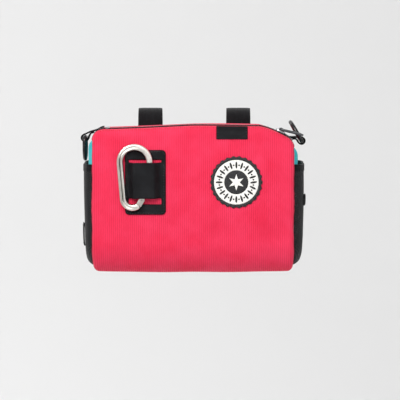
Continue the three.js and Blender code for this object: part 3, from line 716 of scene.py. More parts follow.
def row_tree(material):
    """A node tree that sets beads at a pitch along a path. The path's up attribute stands them up."""
    tree = bpy.data.node_groups.new("bead_row", "GeometryNodeTree")
    face = tree.interface
    face.new_socket("Geometry", in_out="INPUT", socket_type="NodeSocketGeometry")
    face.new_socket("Pitch", in_out="INPUT", socket_type="NodeSocketFloat")
    face.new_socket("Size", in_out="INPUT", socket_type="NodeSocketVector")
    face.new_socket("Segments", in_out="INPUT", socket_type="NodeSocketInt")
    face.new_socket("Geometry", in_out="OUTPUT", socket_type="NodeSocketGeometry")
    given = add_node(tree, "NodeGroupInput")
    curve = add_node(tree, "GeometryNodeMeshToCurve", {"Mesh": given.outputs["Geometry"]})
    spaced = add_node(
        tree,
        "GeometryNodeResampleCurve",
        {"Curve": curve.outputs[0], "Length": given.outputs["Pitch"]},
        mode="LENGTH",
    )
    tangent = add_node(tree, "GeometryNodeInputTangent")
    along = add_node(
        tree, "FunctionNodeAlignRotationToVector", {"Vector": tangent.outputs[0]}, axis="X"
    )
    up = add_node(
        tree, "GeometryNodeInputNamedAttribute", {"Name": "up"}, data_type="FLOAT_VECTOR"
    )
    stood = add_node(
        tree,
        "FunctionNodeAlignRotationToVector",
        {"Rotation": along.outputs[0], "Vector": up.outputs["Attribute"]},
        axis="Z",
        pivot_axis="X",
    )
    segments = given.outputs["Segments"]
    bead = add_node(
        tree, "GeometryNodeMeshUVSphere", {"Segments": segments, "Rings": segments, "Radius": 0.5}
    )
    placed = add_node(
        tree,
        "GeometryNodeInstanceOnPoints",
        {
            "Points": spaced.outputs[0],
            "Instance": bead.outputs["Mesh"],
            "Rotation": stood.outputs[0],
            "Scale": given.outputs["Size"],
        },
    )
    real = add_node(tree, "GeometryNodeRealizeInstances", {"Geometry": placed.outputs[0]})
    dressed = add_node(
        tree, "GeometryNodeSetMaterial", {"Geometry": real.outputs[0], "Material": material}
    )
    add_node(tree, "NodeGroupOutput", {"Geometry": dressed.outputs[0]})
    return tree


def bead_row(name, paths, pitch, size, material, segments=8):
    """Beads along one or more paths, as one plain mesh. A path is its points with their up
    directions, or with one direction for all."""
    vertices, edges, ups = [], [], []
    for points, up in paths:
        start = len(vertices)
        vertices += [tuple(p) for p in points]
        ups += [tuple(n) for n in np.broadcast_to(up, points.shape)]
        edges += [(start + k, start + k + 1) for k in range(len(points) - 1)]
    mesh = bpy.data.meshes.new(name)
    mesh.from_pydata(vertices, edges, [])
    layer = mesh.attributes.new("up", "FLOAT_VECTOR", "POINT")
    layer.data.foreach_set("vector", np.asarray(ups, dtype=np.float32).ravel())
    thing = place_object(name, mesh)
    rows = thing.modifiers.new("rows", "NODES")
    rows.node_group = row_tree(material)
    sockets = {item.name: item.identifier for item in rows.node_group.interface.items_tree}
    rows[sockets["Pitch"]] = pitch
    rows[sockets["Size"]] = size
    rows[sockets["Segments"]] = segments
    apply_modifiers(thing)
    return finish_piece(thing, material)


# A stitch is as long along its row, wide and high as its size says, and the next one starts a pitch on

SEAM_PITCH = 3.2 * MM
SEAM_STITCH = (2.5 * MM, 0.55 * MM, 0.45 * MM)
SEAM_LIFT = 0.62 * MM
SEAM_STATIONS = {"front": 0.32, "rear": ZIP_START - 0.045}
EDGE_PITCH = 2.6 * MM
EDGE_STITCH = (2.0 * MM, 0.5 * MM, 0.4 * MM)
FINE_PITCH = 2.2 * MM
FINE_STITCH = (1.7 * MM, 0.5 * MM, 0.4 * MM)
LABEL_STITCH = (1.7 * MM, 0.45 * MM, 0.35 * MM)


# The shell and its zip


def across_profile():
    """The x and the turn-in of each column: flat in the middle, rounding over each end and tucked
    into the seam."""
    middle = np.linspace(-1, 1, 121) * (HALF_WIDTH - END_RADIUS)
    bend = np.radians([12, 25, 38, 52, 66, 80, 90])
    end_x = (HALF_WIDTH - END_RADIUS) + END_RADIUS * np.sin(bend)
    end_in = END_RADIUS * (1 - np.cos(bend))
    tuck_x = np.append(end_x, HALF_WIDTH - np.array([0.5, 1.6]) * MM)
    tuck_in = np.append(end_in, END_RADIUS + np.array([0.45, 0.8]) * MM)
    xs = np.concatenate([-tuck_x[::-1], middle, tuck_x])
    insets = np.concatenate([tuck_in[::-1], np.zeros(len(middle)), tuck_in])
    return xs, insets


def shell_sheet(name, stations, thickness, rise):
    """Cloth from one end of the shell to the other. rise is how far it stands off, as one value or as
    one for each station."""
    xs, insets = across_profile()
    points = bag_point(xs[:, None], stations, insets[:, None])
    lift = cloth_ripple(points) + rise
    points = points + grid_normals(points) * lift[..., None]
    places = np.broadcast_to(xs[:, None], lift.shape)
    sheet = grid_object(name, points, np.stack([places, lengths(points)], axis=-1))
    return thicken(sheet, thickness)


def hem_rise(stations, edge, width, height):
    """What a folded hem adds to the cloth at each station, within width of its edge in stations."""
    away = np.abs(stations - edge) / width
    return height * np.clip(1.6 - 1.6 * away, 0, 1)


def add_shell():
    """The red panel that runs down the front, under the bag and up its back, and the one on top."""
    around = stepped(range(7), (10, 52, 28, 16, 20, 40))
    wrap = shell_sheet("bag_wrap", around, CLOTH, hem_rise(around, 0.0, 0.4, 0.25 * MM))
    finish_piece(wrap, RED_CLOTH, replaces=["wrap_panel"])
    over = stepped((6.012, 7, ZIP_START - 0.005), (14, 32))
    top = shell_sheet("bag_top", over, CLOTH, hem_rise(over, ZIP_START, 0.09, 0.5 * MM))
    finish_piece(top, RED_CLOTH, replaces=["top_panel"])


def add_zip():
    """The zip along the top front edge: its tape, coil and end stop, and a stitch row on each side."""
    stations = np.linspace(ZIP_START - 0.01, 7.999, 13)
    tape = shell_sheet("zip_tape_cloth", stations, TAPE_THICKNESS, TAPE_LIFT)
    finish_piece(tape, TAPE_CLOTH, replaces=["zip_tape"])
    run = np.linspace(*ZIP_RUN, 160)
    teeth = lifted(run, ZIP_MIDDLE, COIL_LIFT)
    bead_row("zip_coil", [teeth], COIL_PITCH, COIL_TURN, COIL)

    crossing = np.linspace(ZIP_MIDDLE - STOP_REACH, ZIP_MIDDLE + STOP_REACH, 7)
    across, _ = lifted(STOP_X, crossing, SLIDER_LIFT)
    plate = rounded_section(*STOP_SIZE, 3.5, 20)
    widths = (0.75, 0.95, 1, 1, 1, 0.95, 0.75)
    stop = sweep("zip_end_stop", across, X_AXIS, lambda k: plate * widths[k])
    finish_piece(shade_by_angle(stop), NICKEL)

    for name, station in SEAM_STATIONS.items():
        row = lifted(run * 0.99, station, SEAM_LIFT)
        bead_row(f"zip_stitches_{name}", [row], SEAM_PITCH, SEAM_STITCH, RED_THREAD)


add_shell()
add_zip()


# The ends and their pockets. Each end has a side, the height of its panel's crown and the height of
# its pocket's bulge. A pocket's bulge is shared out as POCKET_OUT says at each fall below its mouth.

ENDS = {"left": (-1, 5.0 * MM, 10.2 * MM), "right": (1, 5.2 * MM, 11.8 * MM)}
END_SET_BACK = 0.8 * MM
END_THICKNESS = 1.2 * MM
END_SPOKES = 200
END_TUCK = 1.4 * MM
CROWN_REACH = 13 * MM
SEAM_CORD = (2.0 * MM, 1.7 * MM)
POCKET_GAP = 0.7 * MM
POCKET_THICKNESS = 1.2 * MM
POCKET_TUCK = 0.3 * MM
POCKET_TURN = 2.5 * MM
HEM_LIFT = 0.55 * MM
HEM_RISE = 0.4 * MM
HEM_FALL = 7 * MM
SIDE_TAB_LIFT = 1.5 * MM
SIDE_TAB_SWELL = 0.5 * MM
SIDE_TAB_THICKNESS = 1.4 * MM
SIDE_TAB_STITCH_LIFT = 1.95 * MM
SIDE_TAB_STITCH_INSET = 3 * MM
pocket_low, pocket_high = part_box("side_pocket_left")
MOUTH = pocket_high.z
FOOT = pocket_low.z
POCKET_FALL = (0, 0.1, 0.3, 0.5, 0.7, 0.84, 0.94, 1)
POCKET_OUT = {
    -1: (1, 1, 0.93, 0.84, 0.74, 0.58, 0.36, 0.08),
    1: (1, 1, 0.98, 0.94, 0.88, 0.72, 0.4, 0.08),
}


def from_rim(side, y, z):
    """How far a point of an end lies inside the seam around it."""
    inset = END_RADIUS + 0.3 * MM
    front, back = FRONT + inset, BACK - inset
    top = float(top_at(side * HALF_WIDTH)) - inset
    bottom = BOTTOM + BOTTOM_SAG + inset
    inside = np.minimum(np.minimum(y - front, back - y), np.minimum(z - bottom, top - z))
    for wall, to_back, edge, up, radius in (
        (front, 1, top, -1, RADIUS_TOP_FRONT),
        (front, 1, bottom, 1, RADIUS_BOTTOM_FRONT),
        (back, -1, bottom, 1, RADIUS_BOTTOM_BACK),
        (back, -1, top, -1, RADIUS_TOP_BACK),
    ):
        turn = radius - inset
        past_y = (wall + to_back * turn - y) * to_back
        past_z = (edge + up * turn - z) * up
        in_corner = (past_y > 0) & (past_z > 0)
        inside = np.where(in_corner, turn - np.hypot(past_y, past_z), inside)
    return inside


def end_point(name, y, z, lift):
    """Points that stand off an end panel by lift. Most of its crown is reached close to its seam."""
    side, crown, _ = ENDS[name]
    share = np.clip(from_rim(side, y, z) / CROWN_REACH, 0, 1)
    x = side * (HALF_WIDTH - END_SET_BACK + crown * (1 - (1 - share) ** 3) + lift)
    return np.stack(np.broadcast_arrays(x, y, z), axis=-1)


def look_sideways(thing, side):
    """Turns a sheet so that its faces look out of the given end of the bag."""
    faces = thing.data.polygons
    if faces[len(faces) // 2].normal.x * side < 0:
        thing.data.flip_normals()


def end_sheet(title, name, points, thickness, levels=0):
    """A sheet on an end of the bag, from a grid of points on its outside."""
    sheet = grid_object(title, points, points[..., 1:])
    look_sideways(sheet, ENDS[name][0])
    return thicken(sheet, thickness, levels)


def end_loop(side, inset, count):
    """A closed line round an end of the shell, inset from its outside."""
    stations = np.linspace(0, 8, count, endpoint=False)
    return bag_point(side * HALF_WIDTH * 0.9999, stations, inset)


def add_end_panel(name):
    """A teal end, meshed like a wheel: spokes run in from its sewn edge to a hub."""
    side = ENDS[name][0]
    loop = end_loop(side, END_RADIUS + 0.5 * MM, END_SPOKES)
    centre = loop.mean(axis=0)
    shares = np.concatenate([[1.0, 0.995], np.linspace(0.985, 0.06, 30)])
    spokes = centre + (loop[:, None, :] - centre) * shares[None, :, None]
    puckers = np.exp(-(1 - shares) / 0.05) * np.sin(np.arange(END_SPOKES) * 0.9)[:, None]
    waves = 0.35 * np.sin(60 * spokes[..., 1] + 40 * spokes[..., 2]) * (1 - shares**3)
    points = end_point(name, spokes[..., 1], spokes[..., 2], (0.16 * puckers + waves) * MM)
    points[:, 0, 0] -= side * END_TUCK
    hub = points[:, -1].mean(axis=0)
    vertices = np.vstack([points.reshape(-1, 3), hub[None]])
    faces = grid_faces(END_SPOKES, len(shares), wrap_columns=True)
    inner = np.arange(1, END_SPOKES + 1) * len(shares) - 1
    faces += [(a, b, len(vertices) - 1) for a, b in zip(np.roll(inner, -1), inner)]
    panel = new_object(f"end_panel_{name}", vertices, faces, vertices[:, 1:])
    look_sideways(panel, side)
    thicken(panel, END_THICKNESS)
    finish_piece(panel, TEAL_CLOTH, replaces=[f"side_panel_{name}"])


def add_end_seam(name):
    """The turned-in edge of the red cloth where the end panel is sewn to it."""
    side = ENDS[name][0]
    loop = end_loop(side, END_RADIUS + 0.4 * MM, 240)
    loop[:, 0] = side * (HALF_WIDTH - 1.1 * MM)
    section = rounded_section(*SEAM_CORD, 2.0, 12)
    seam = sweep(f"end_seam_{name}", loop, X_AXIS, lambda k: section, closed=True)
    finish_piece(seam, RED_THREAD)


def pocket_edges(z):
    """The front and back limits of a pocket at each height, inside the shell's rounded corners."""
    inset = END_RADIUS + 0.1 * MM
    rise = z - (BOTTOM + BOTTOM_SAG + inset)

    def edge(wall, direction, radius):
        """One limit: straight above, and round the corner below."""
        turn = radius - inset
        short = np.clip(turn - rise, 0, turn * 0.999)
        return wall + direction * (inset + turn - np.sqrt(turn**2 - short**2))

    return edge(FRONT, 1, RADIUS_BOTTOM_FRONT), edge(BACK, -1, RADIUS_BOTTOM_BACK)


def pocket_surface(name, column, z, lift):
    """Points of a pocket's outside. column runs from 0 at the back to 1 at the front."""
    side, crown, bulge = ENDS[name]
    fall = (MOUTH - z) / (MOUTH - FOOT)
    out = np.interp(fall, POCKET_FALL, POCKET_OUT[side])
    front, back = pocket_edges(z)
    y = back + (front - back) * column
    across = 1 - np.abs(2 * column - 1) ** 5
    lining = POCKET_GAP + POCKET_THICKNESS
    gathers = np.exp(-fall / 0.16) * np.sin(column * 58 + 1.6 * np.sin(column * 9)) * across
    sag = 0.5 * np.sin(column * 7 + fall * 6) * across * (1 - fall)
    stand = lining + (bulge - crown - lining) * across * out + (0.4 * gathers + sag) * MM * out
    from_side = np.minimum(column, 1 - column) * np.abs(back - front)
    from_foot = (1 - fall) * (MOUTH - FOOT)
    tuck = np.sqrt(np.clip(np.minimum(from_side, from_foot) / POCKET_TURN, 0, 1))
    return end_point(name, y, z, stand * tuck - POCKET_TUCK * (1 - tuck) + lift)


def add_pocket(name):
    """A stretch pocket over the lower part of an end, with a ribbed hem along its mouth."""
    columns = stepped((0, 0.12, 0.88, 1), (8, 60, 8))[:, None]
    z = MOUTH + (FOOT - MOUTH) * np.linspace(0, 1, 61)
    face = pocket_surface(name, columns, z, 0.0)
    pocket = end_sheet(f"pocket_{name}", name, face, POCKET_THICKNESS)
    finish_piece(pocket, KNIT, replaces=[f"side_pocket_{name}"])

    hem_z = np.linspace(MOUTH + HEM_RISE, MOUTH - HEM_FALL, 9)
    face = pocket_surface(name, columns, hem_z, HEM_LIFT)
    hem = end_sheet(f"pocket_hem_{name}", name, face, POCKET_THICKNESS + 2 * HEM_LIFT, levels=1)
    finish_piece(hem, WEBBING)


def add_side_tab(name):
    """A folded webbing tab sewn to the pocket near its front edge."""
    low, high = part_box(f"side_tab_{name}")
    front, back = pocket_edges(np.array([low.z, high.z]))
    columns = (np.linspace(high.y, low.y, 9) - back.mean()) / (front.mean() - back.mean())
    z = np.linspace(high.z, low.z, 17)
    from_end = 1 - np.abs(np.linspace(-1, 1, 17))
    swell = SIDE_TAB_SWELL * (1 - (1 - from_end) ** 4)
    face = pocket_surface(name, columns[:, None], z, SIDE_TAB_LIFT + swell)
    tab = end_sheet(f"side_tab_{name}_webbing", name, face, SIDE_TAB_THICKNESS, levels=1)
    finish_piece(tab, WEBBING, replaces=[f"side_tab_{name}"])
    inner = np.linspace(columns[1], columns[-2], 9)
    rows = [
        (pocket_surface(name, inner, height, SIDE_TAB_STITCH_LIFT), (ENDS[name][0], 0, 0))
        for height in (high.z - SIDE_TAB_STITCH_INSET, low.z + SIDE_TAB_STITCH_INSET)
    ]
    bead_row(f"side_tab_{name}_stitches", rows, FINE_PITCH, FINE_STITCH, BLACK_THREAD)


for end_name in ENDS:
    add_end_panel(end_name)
    add_end_seam(end_name)
    add_pocket(end_name)
    add_side_tab(end_name)


# The lash tab: a cut sheet sewn to the front, with a band that stands out between its two slots

lash_low, lash_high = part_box("lash_tab")
LASH_THICKNESS = 1.4 * MM
LASH_LIFT = 0.3 * MM + LASH_THICKNESS
LASH_CORNER = 4 * MM
BAND_LEFT = lash_low.x + 3.8 * MM
BAND_RIGHT = BAND_LEFT + 32.8 * MM
BAND_TOP = lash_high.z - 12.5 * MM
BAND_FOOT = BAND_TOP - 36 * MM
BAND_RISE = 8.0 * MM
LEFT_SHOULDER = 5.6 * MM
RIGHT_SHOULDER = 7.6 * MM
UPPER_SLOT = 2.5 * MM
LOWER_SLOT = 6 * MM
LASH_STITCH_INSET = 1.9 * MM


def lash_layout():
    """The lash tab's grid lines, the height of its band at each column, the rows of the band, and a
    rule for the cells to keep."""
    shoulders = (BAND_LEFT + LEFT_SHOULDER, BAND_RIGHT - RIGHT_SHOULDER)
    columns = stepped(
        (lash_low.x, BAND_LEFT, *shoulders, BAND_RIGHT, lash_high.x), (3, 10, 16, 12, 3)
    )
    upper, lower = BAND_TOP + UPPER_SLOT, BAND_FOOT - LOWER_SLOT
    rows = stepped((lash_high.z, upper, BAND_TOP, BAND_FOOT, lower, lash_low.z), (6, 2, 22, 4, 7))
    rise = np.clip((columns - BAND_LEFT) / LEFT_SHOULDER, 0, 1)
    fall = np.clip((BAND_RIGHT - columns) / RIGHT_SHOULDER, 0, 1)
    share = np.minimum(rise, fall)
    height = BAND_RISE * (3 * share**2 - 2 * share**3)
    middle_rows = (rows[:-1] + rows[1:]) / 2
    middle_columns = (columns[:-1] + columns[1:]) / 2
    in_band = (middle_columns > BAND_LEFT) & (middle_columns < BAND_RIGHT)
    in_slot = (middle_rows < upper) & (middle_rows > BAND_TOP)
    in_slot |= (middle_rows < BAND_FOOT) & (middle_rows > lower)
    close = 1e-6
    raised = (rows <= BAND_TOP + close) & (rows >= BAND_FOOT - close)
    return columns, rows, height, raised, lambda i, j: not (in_band[i] and in_slot[j])


def round_corners(x, z, low, high, radius):
    """Moves grid points in the corners of a rectangle so that its outline turns on a radius."""
    across = np.clip((radius - np.minimum(x - low[0], high[0] - x)) / radius, 0, 1)
    up = np.clip((radius - np.minimum(z - low[1], high[1] - z)) / radius, 0, 1)
    square = np.maximum(across, up)
    away = np.maximum(np.hypot(across, up), 1e-9)
    pull = (1 - square / away) * radius
    sign_x = np.sign((low[0] + high[0]) / 2 - x)
    sign_z = np.sign((low[1] + high[1]) / 2 - z)
    return x + sign_x * across * pull, z + sign_z * up * pull


def add_lash_tab():
    """The cut sheet with its raised band, and the stitch row inside its edge."""
    columns, rows, height, raised, keep = lash_layout()
    x, z = np.meshgrid(columns, rows, indexing="ij")
    x, z = round_corners(x, z, (lash_low.x, lash_low.z), (lash_high.x, lash_high.z), LASH_CORNER)
    flat = on_front(x, z, LASH_LIFT)[..., 1]
    out = np.where(raised, height[:, None], 0)
    foot_of_band = np.minimum(lash_low.y + BAND_RISE, flat)
    y = np.where(out > 0, foot_of_band, flat) - out
    points = np.stack([x, y, z], axis=-1)
    tab = grid_object("lash_tab_sheet", points, points[..., [0, 2]], keep=keep)
    thicken(tab, LASH_THICKNESS, levels=1)
    finish_piece(tab, LAMINATE, replaces=["lash_tab"])

    left, right = lash_low.x + LASH_CORNER, lash_high.x - LASH_CORNER
    foot, head = lash_low.z + LASH_CORNER, lash_high.z - LASH_CORNER
    centres = ((right, head), (left, head), (left, foot), (right, foot))
    turn = LASH_CORNER - LASH_STITCH_INSET
    arcs = [arc_path(turn, 90 * k, 90 * k + 90, 7) + centre for k, centre in enumerate(centres)]
    outline = np.concatenate([*arcs, arcs[0][:1]])
    line = stepped(outline, [5] * (len(outline) - 1))[:-1]
    row = (on_front(line[:, 0], line[:, 1], LASH_LIFT + 0.05 * MM), (0, -1, 0))
    bead_row("lash_tab_stitches", [row], EDGE_PITCH, EDGE_STITCH, BLACK_THREAD)


add_lash_tab()


# The snap hook: a forged bar with a groove along its faces, and a sprung gate on a pin. An arc of the
# bar's middle line is the place of its centre across and up, and its radius.

hook_low, hook_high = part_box("carabiner_body")
TOP_ARC = (lash_low.x + 9.9 * MM, BAND_TOP + 0.6 * MM, 14.9 * MM)
FOOT_ARC = (lash_low.x + 7.7 * MM, BAND_FOOT + 0.5 * MM, 9.6 * MM)
HOOK_WIDTH = 6.2 * MM
HOOK_DEPTH = hook_high.y - hook_low.y
HOOK_Y = (hook_high.y + hook_low.y) / 2
HOOK_END_ANGLE = 308
GROOVE_DEPTH = 0.75 * MM
GROOVE_WIDTH = 1.5 * MM
GROOVE_FROM = 50  # points of the bar's middle line before the groove's strip of painted shade
GROOVE_SHORT = 30  # points after it
GROOVE_FLOOR_THICKNESS = 0.3 * MM
EAR_RADIUS = 2.8 * MM
EAR_LENGTH = 4.4 * MM
EAR_THICKNESS = 1.3 * MM
TONGUE_THICKNESS = 2 * MM
GATE_GAP = 0.8 * MM
PLATE_BEVEL = 0.25 * MM


def on_arc(arc, degrees):
    """Points of the bar's middle line at the given angles on an arc."""
    turn = np.radians(degrees)
    return np.stack(
        [arc[0] + arc[2] * np.cos(turn), HOOK_Y + 0 * turn, arc[1] + arc[2] * np.sin(turn)], axis=-1
    )


def hook_angles():
    """The angles at which straight lines touch both arcs, on the gate's side and the spine's."""
    dx, dz = FOOT_ARC[0] - TOP_ARC[0], FOOT_ARC[1] - TOP_ARC[1]
    heading = math.degrees(math.atan2(dz, dx))
    turn = math.degrees(math.acos((TOP_ARC[2] - FOOT_ARC[2]) / math.hypot(dx, dz)))
    return heading + turn, heading - turn + 360


GATE_SIDE, SPINE_SIDE = hook_angles()
HINGE = on_arc(FOOT_ARC, GATE_SIDE)
NOSE = on_arc(TOP_ARC, GATE_SIDE)


def grooved_section(depth):
    """The bar's outline: square-shouldered, with a shallow groove of the given depth front and back."""
    outline = rounded_section(HOOK_WIDTH, HOOK_DEPTH, 3.4, 40)
    across = np.abs(outline[:, 0]) / (HOOK_WIDTH * 0.24)
    sink = depth * np.clip(1 - across**4, 0, 1)
    outline[:, 1] -= np.sign(outline[:, 1]) * sink * (np.abs(outline[:, 1]) > HOOK_DEPTH * 0.3)
    return outline


def link_plate(name, end, radius, thickness, set_back):
    """A flat link from the hinge to an end, round about the hinge. set_back moves it along Y."""
    along = (end - HINGE) / np.linalg.norm(end - HINGE)
    across = np.array([-along[2], 0, along[0]])
    round_end = arc_path(radius, 90, 270, 17)
    outline = [HINGE + a * along + b * across for a, b in round_end]
    outline += [end - radius * across, end + radius * across]
    count = len(outline)
    faces_y = (set_back - thickness / 2, set_back + thickness / 2)
    vertices = [p + y * Y_AXIS for y in faces_y for p in outline]
    faces = [tuple(range(count)), tuple(range(2 * count - 1, count - 1, -1))]
    faces += [(k, k + count, (k + 1) % count + count, (k + 1) % count) for k in range(count)]
    plate = face_outwards(new_object(name, vertices, faces))
    edge = plate.modifiers.new("edge", "BEVEL")
    edge.width = PLATE_BEVEL
    edge.segments = 2
    edge.limit_method = "ANGLE"
    return apply_modifiers(plate)


def add_hook_body():
    """The forged bar with the tongue that carries the hinge, and a dark strip of painted shade on the
    floor of its groove.
    """
    top = on_arc(TOP_ARC, np.linspace(GATE_SIDE, SPINE_SIDE, 61))
    foot = on_arc(FOOT_ARC, np.linspace(SPINE_SIDE, HOOK_END_ANGLE, 37))
    spine = np.linspace(top[-1], foot[0], 16)[1:-1]
    path = np.concatenate([top, spine, foot])
    count = len(path)
    fade_in = (22, 52)
    fade_out = (count - 30, count - 6)
    grooves = np.interp(np.arange(count), [*fade_in, *fade_out], [0, 1, 1, 0])
    rounding = np.ones(count)
    rounding[:4] = (0.8, 0.92, 0.97, 0.99)
    rounding[-3:] = (0.98, 0.94, 0.84)
    sections = [grooved_section(GROOVE_DEPTH * g) * r for g, r in zip(grooves, rounding)]
    bar = sweep("snap_hook_bar", path, Y_AXIS, lambda k: sections[k])
    tongue = link_plate("tongue", path[-1], EAR_RADIUS, TONGUE_THICKNESS, 0.0)
    body = shade_by_angle(join_pieces("snap_hook_body_bar", [bar, tongue]))
    finish_piece(body, ALUMINIUM, replaces=["carabiner_body"])

    # Painted shade: a dark metal strip lies on the groove's floor along the spine
    shaded_span = slice(GROOVE_FROM, count - GROOVE_SHORT)
    floor = HOOK_DEPTH / 2 - GROOVE_DEPTH * grooves[shaded_span]
    line = path[shaded_span] - floor[:, None] * Y_AXIS
    from_end = np.minimum(np.arange(len(line)), np.arange(len(line))[::-1])
    taper = np.clip(from_end / 5, 0.3, 1)
    strip = rounded_section(GROOVE_WIDTH, GROOVE_FLOOR_THICKNESS, 3.0, 12)
    groove = sweep("snap_hook_groove_shade", line, Y_AXIS, lambda k: strip * [taper[k], 1])
    finish_piece(groove, GROOVE_SHADE_ALUMINIUM)


def add_hook_gate():
    """The sprung gate, whose two ears straddle the tongue."""
    length = np.linalg.norm(NOSE - HINGE)
    along = (NOSE - HINGE) / length
    marks = np.linspace(EAR_LENGTH, length - GATE_GAP, 14)
    swell = np.ones(14)
    swell[[0, 1, -2, -1]] = (0.86, 0.97, 0.97, 0.86)
    outline = rounded_section(EAR_RADIUS * 2, HOOK_DEPTH, 3.0, 28)
    rod = sweep("gate_rod", HINGE + marks[:, None] * along, Y_AXIS, lambda k: outline * swell[k])
    ear_end = HINGE + along * (EAR_LENGTH + 1 * MM)
    ear_y = (HOOK_DEPTH - EAR_THICKNESS) / 2
    ears = [
        link_plate("ear", ear_end, EAR_RADIUS * 0.8, EAR_THICKNESS, y) for y in (-ear_y, ear_y)
    ]
    gate = shade_by_angle(join_pieces("snap_hook_gate", [rod, *ears]))
    finish_piece(gate, ALUMINIUM, GATE_BODY, replaces=["carabiner_gate"])


def add_gate_pin():
    """The rivet through the ears and the tongue, domed at both ends."""
    low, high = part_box("gate_pin")
    path = np.array([(HINGE[0], y, HINGE[2]) for y in np.linspace(low.y, high.y, 7)])
    outline = rounded_section(high.x - low.x, high.x - low.x, 2.0, 20)
    domes = (0.7, 0.95, 1, 1, 1, 0.95, 0.7)
    pin = sweep("hinge_rivet", path, X_AXIS, lambda k: outline * domes[k])
    finish_piece(shade_by_angle(pin), NICKEL, GATE_BODY, replaces=["gate_pin"])


add_hook_body()
add_hook_gate()
add_gate_pin()


# The badge: white satin stitch between black rings, with a black scalloped edge

badge_low, badge_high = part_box("patch")
BADGE_X = (badge_low.x + badge_high.x) / 2
BADGE_Z = (badge_low.z + badge_high.z) / 2
BADGE_RADIUS = 25.7 * MM
RING_OUTER = 22.4 * MM
RING_INNER = 12.0 * MM
SCALLOPS = 26
SCALLOP_DEPTH = 0.022
BADGE_FOOT = 0.3 * MM
RING_LIFT = 1.1 * MM
MARK_LIFT = 1.4 * MM
MARKS = 20
MARK_RADIUS = 17.2 * MM
MARK_SIZES = {
    "badge_bars": (2.1 * MM, 7.0 * MM, 0.9 * MM),
    "badge_dots": (1.7 * MM, 1.7 * MM, 0.9 * MM),
}
STAR_TIPS = 6
STAR_OUTER = 8.2 * MM
STAR_INNER = 3.4 * MM
STAR_FOOT, STAR_RIM, STAR_PEAK = 0.9 * MM, 1.35 * MM, 1.9 * MM


def badge_points(radius, angle, lift):
    """Points that stand off the front by lift, at a radius and an angle about the badge's middle."""
    return on_front(BADGE_X + radius * np.cos(angle), BADGE_Z + radius * np.sin(angle), lift)


def badge_ring(name, inner, outer, height, dome, material, scallop=0.0, closed=False):
    """A flat ring of the badge with a domed top, from one radius to another."""
    turns = np.linspace(0, 2 * math.pi, 312, endpoint=False)[:, None]
    shares = np.linspace(0, 1, 13)
    wave = scallop * np.cos(SCALLOPS * turns)
    radius = (inner + (outer - inner) * shares) * (1 + wave * shares**2)
    surface = badge_points(radius, turns, height + dome * (1 - np.abs(2 * shares - 1) ** 3))
    foot = badge_points(radius, turns, BADGE_FOOT)
    rim = np.concatenate([surface, foot[:, ::-1]], axis=1)
    if closed:
        rim[:, 0] = surface[:, 0].mean(axis=0)
        rim[:, -1] = foot[:, 0].mean(axis=0)
    ring = grid_object(name, rim, wrap_columns=True, wrap_rows=True)
    return finish_piece(face_outwards(ring), material)


def add_star():
    """A plain raised star with a ridge to each tip."""
    count = 2 * STAR_TIPS
    angle = np.radians(90 + np.arange(count) * 180 / STAR_TIPS)
    radius = np.where(np.arange(count) % 2 == 0, STAR_OUTER, STAR_INNER)
    rim = badge_points(radius, angle, STAR_RIM)
    foot = badge_points(radius, angle, STAR_FOOT)
    middle = badge_points(0.0, 0.0, np.array([STAR_PEAK, STAR_FOOT]))
    peak, under = 2 * count, 2 * count + 1
    faces = []
    for k in range(count):
        m = (k + 1) % count
        faces += [(k, m, peak), (k, k + count, m + count, m), (m + count, k + count, under)]
    star = face_outwards(new_object("badge_star", np.vstack([rim, foot, middle]), faces))
    finish_piece(shade_by_angle(star, 8), WHITE_THREAD)


def add_badge():
    """The badge's rings, the star in its centre, and the bars and dots round its white ring."""
    ring = badge_ring("badge_white_ring", RING_INNER, RING_OUTER, RING_LIFT, 0.25 * MM, WHITE_THREAD)
    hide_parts("patch")
    edge = (RING_OUTER - 0.2 * MM, BADGE_RADIUS)
    badge_ring("badge_edge", *edge, 1.0 * MM, 0.75 * MM, BLACK_THREAD, scallop=SCALLOP_DEPTH)
    centre = (0.0, RING_INNER + 0.1 * MM)
    badge_ring("badge_centre", *centre, RING_LIFT, 0.12 * MM, BLACK_THREAD, closed=True)
    add_star()
    step = 2 * math.pi / MARKS
    turns = np.linspace(0, 2 * math.pi - step, 241)
    for name, shift in (("badge_bars", 0.0), ("badge_dots", step / 2)):
        row = (badge_points(MARK_RADIUS, turns + shift, MARK_LIFT), (0, -1, 0))
        pitch = MARK_RADIUS * step * 0.9995
        bead_row(name, [row], pitch, MARK_SIZES[name], BLACK_THREAD, segments=20)


add_badge()


# The label, folded over the top edge

LABEL_THICKNESS = 0.8 * MM
LABEL_LIFT = 1.15 * MM
LABEL_STITCH_LIFT = 1.2 * MM
LABEL_STITCH_INSET = 1.6 * MM


def add_label():
    """A small bare sheet over the top edge, with a stitch row down each side."""
    low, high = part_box("label")
    foot = float(front_station(0.0, low.z))
    x = np.linspace(low.x, high.x, 25)
    stations = stepped((0.25, 1.0, foot), (12, 5))
    points, _ = lifted(x[:, None], stations, LABEL_LIFT)
    label = grid_object("label_sheet", points, points[..., [0, 2]])
    thicken(label, LABEL_THICKNESS, levels=1)
    finish_piece(label, LAMINATE, replaces=["label"])
    line = np.linspace(0.3, foot - 0.02, 19)
    edges = (low.x + LABEL_STITCH_INSET, high.x - LABEL_STITCH_INSET)
    rows = [lifted(edge, line, LABEL_STITCH_LIFT) for edge in edges]
    bead_row("label_stitches", rows, FINE_PITCH, LABEL_STITCH, BLACK_THREAD)


add_label()


# The two webbing loops, each a leg sewn to the back that turns over forwards and down on itself

STRAP_THICKNESS = 2 * MM
LOOP_RADIUS = 16.2 * MM
STRAP_LEG = -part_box("bar_strap_left")[0].z
SEWN_HEIGHT = 22 * MM
SEWN_EDGE = 3 * MM


def flat_normals(path):
    """Unit normals of a path of pairs, to the right of its way."""
    step = np.gradient(path, axis=0)
    step /= np.linalg.norm(step, axis=1, keepdims=True)
    return np.stack([step[:, 1], -step[:, 0]], axis=1)


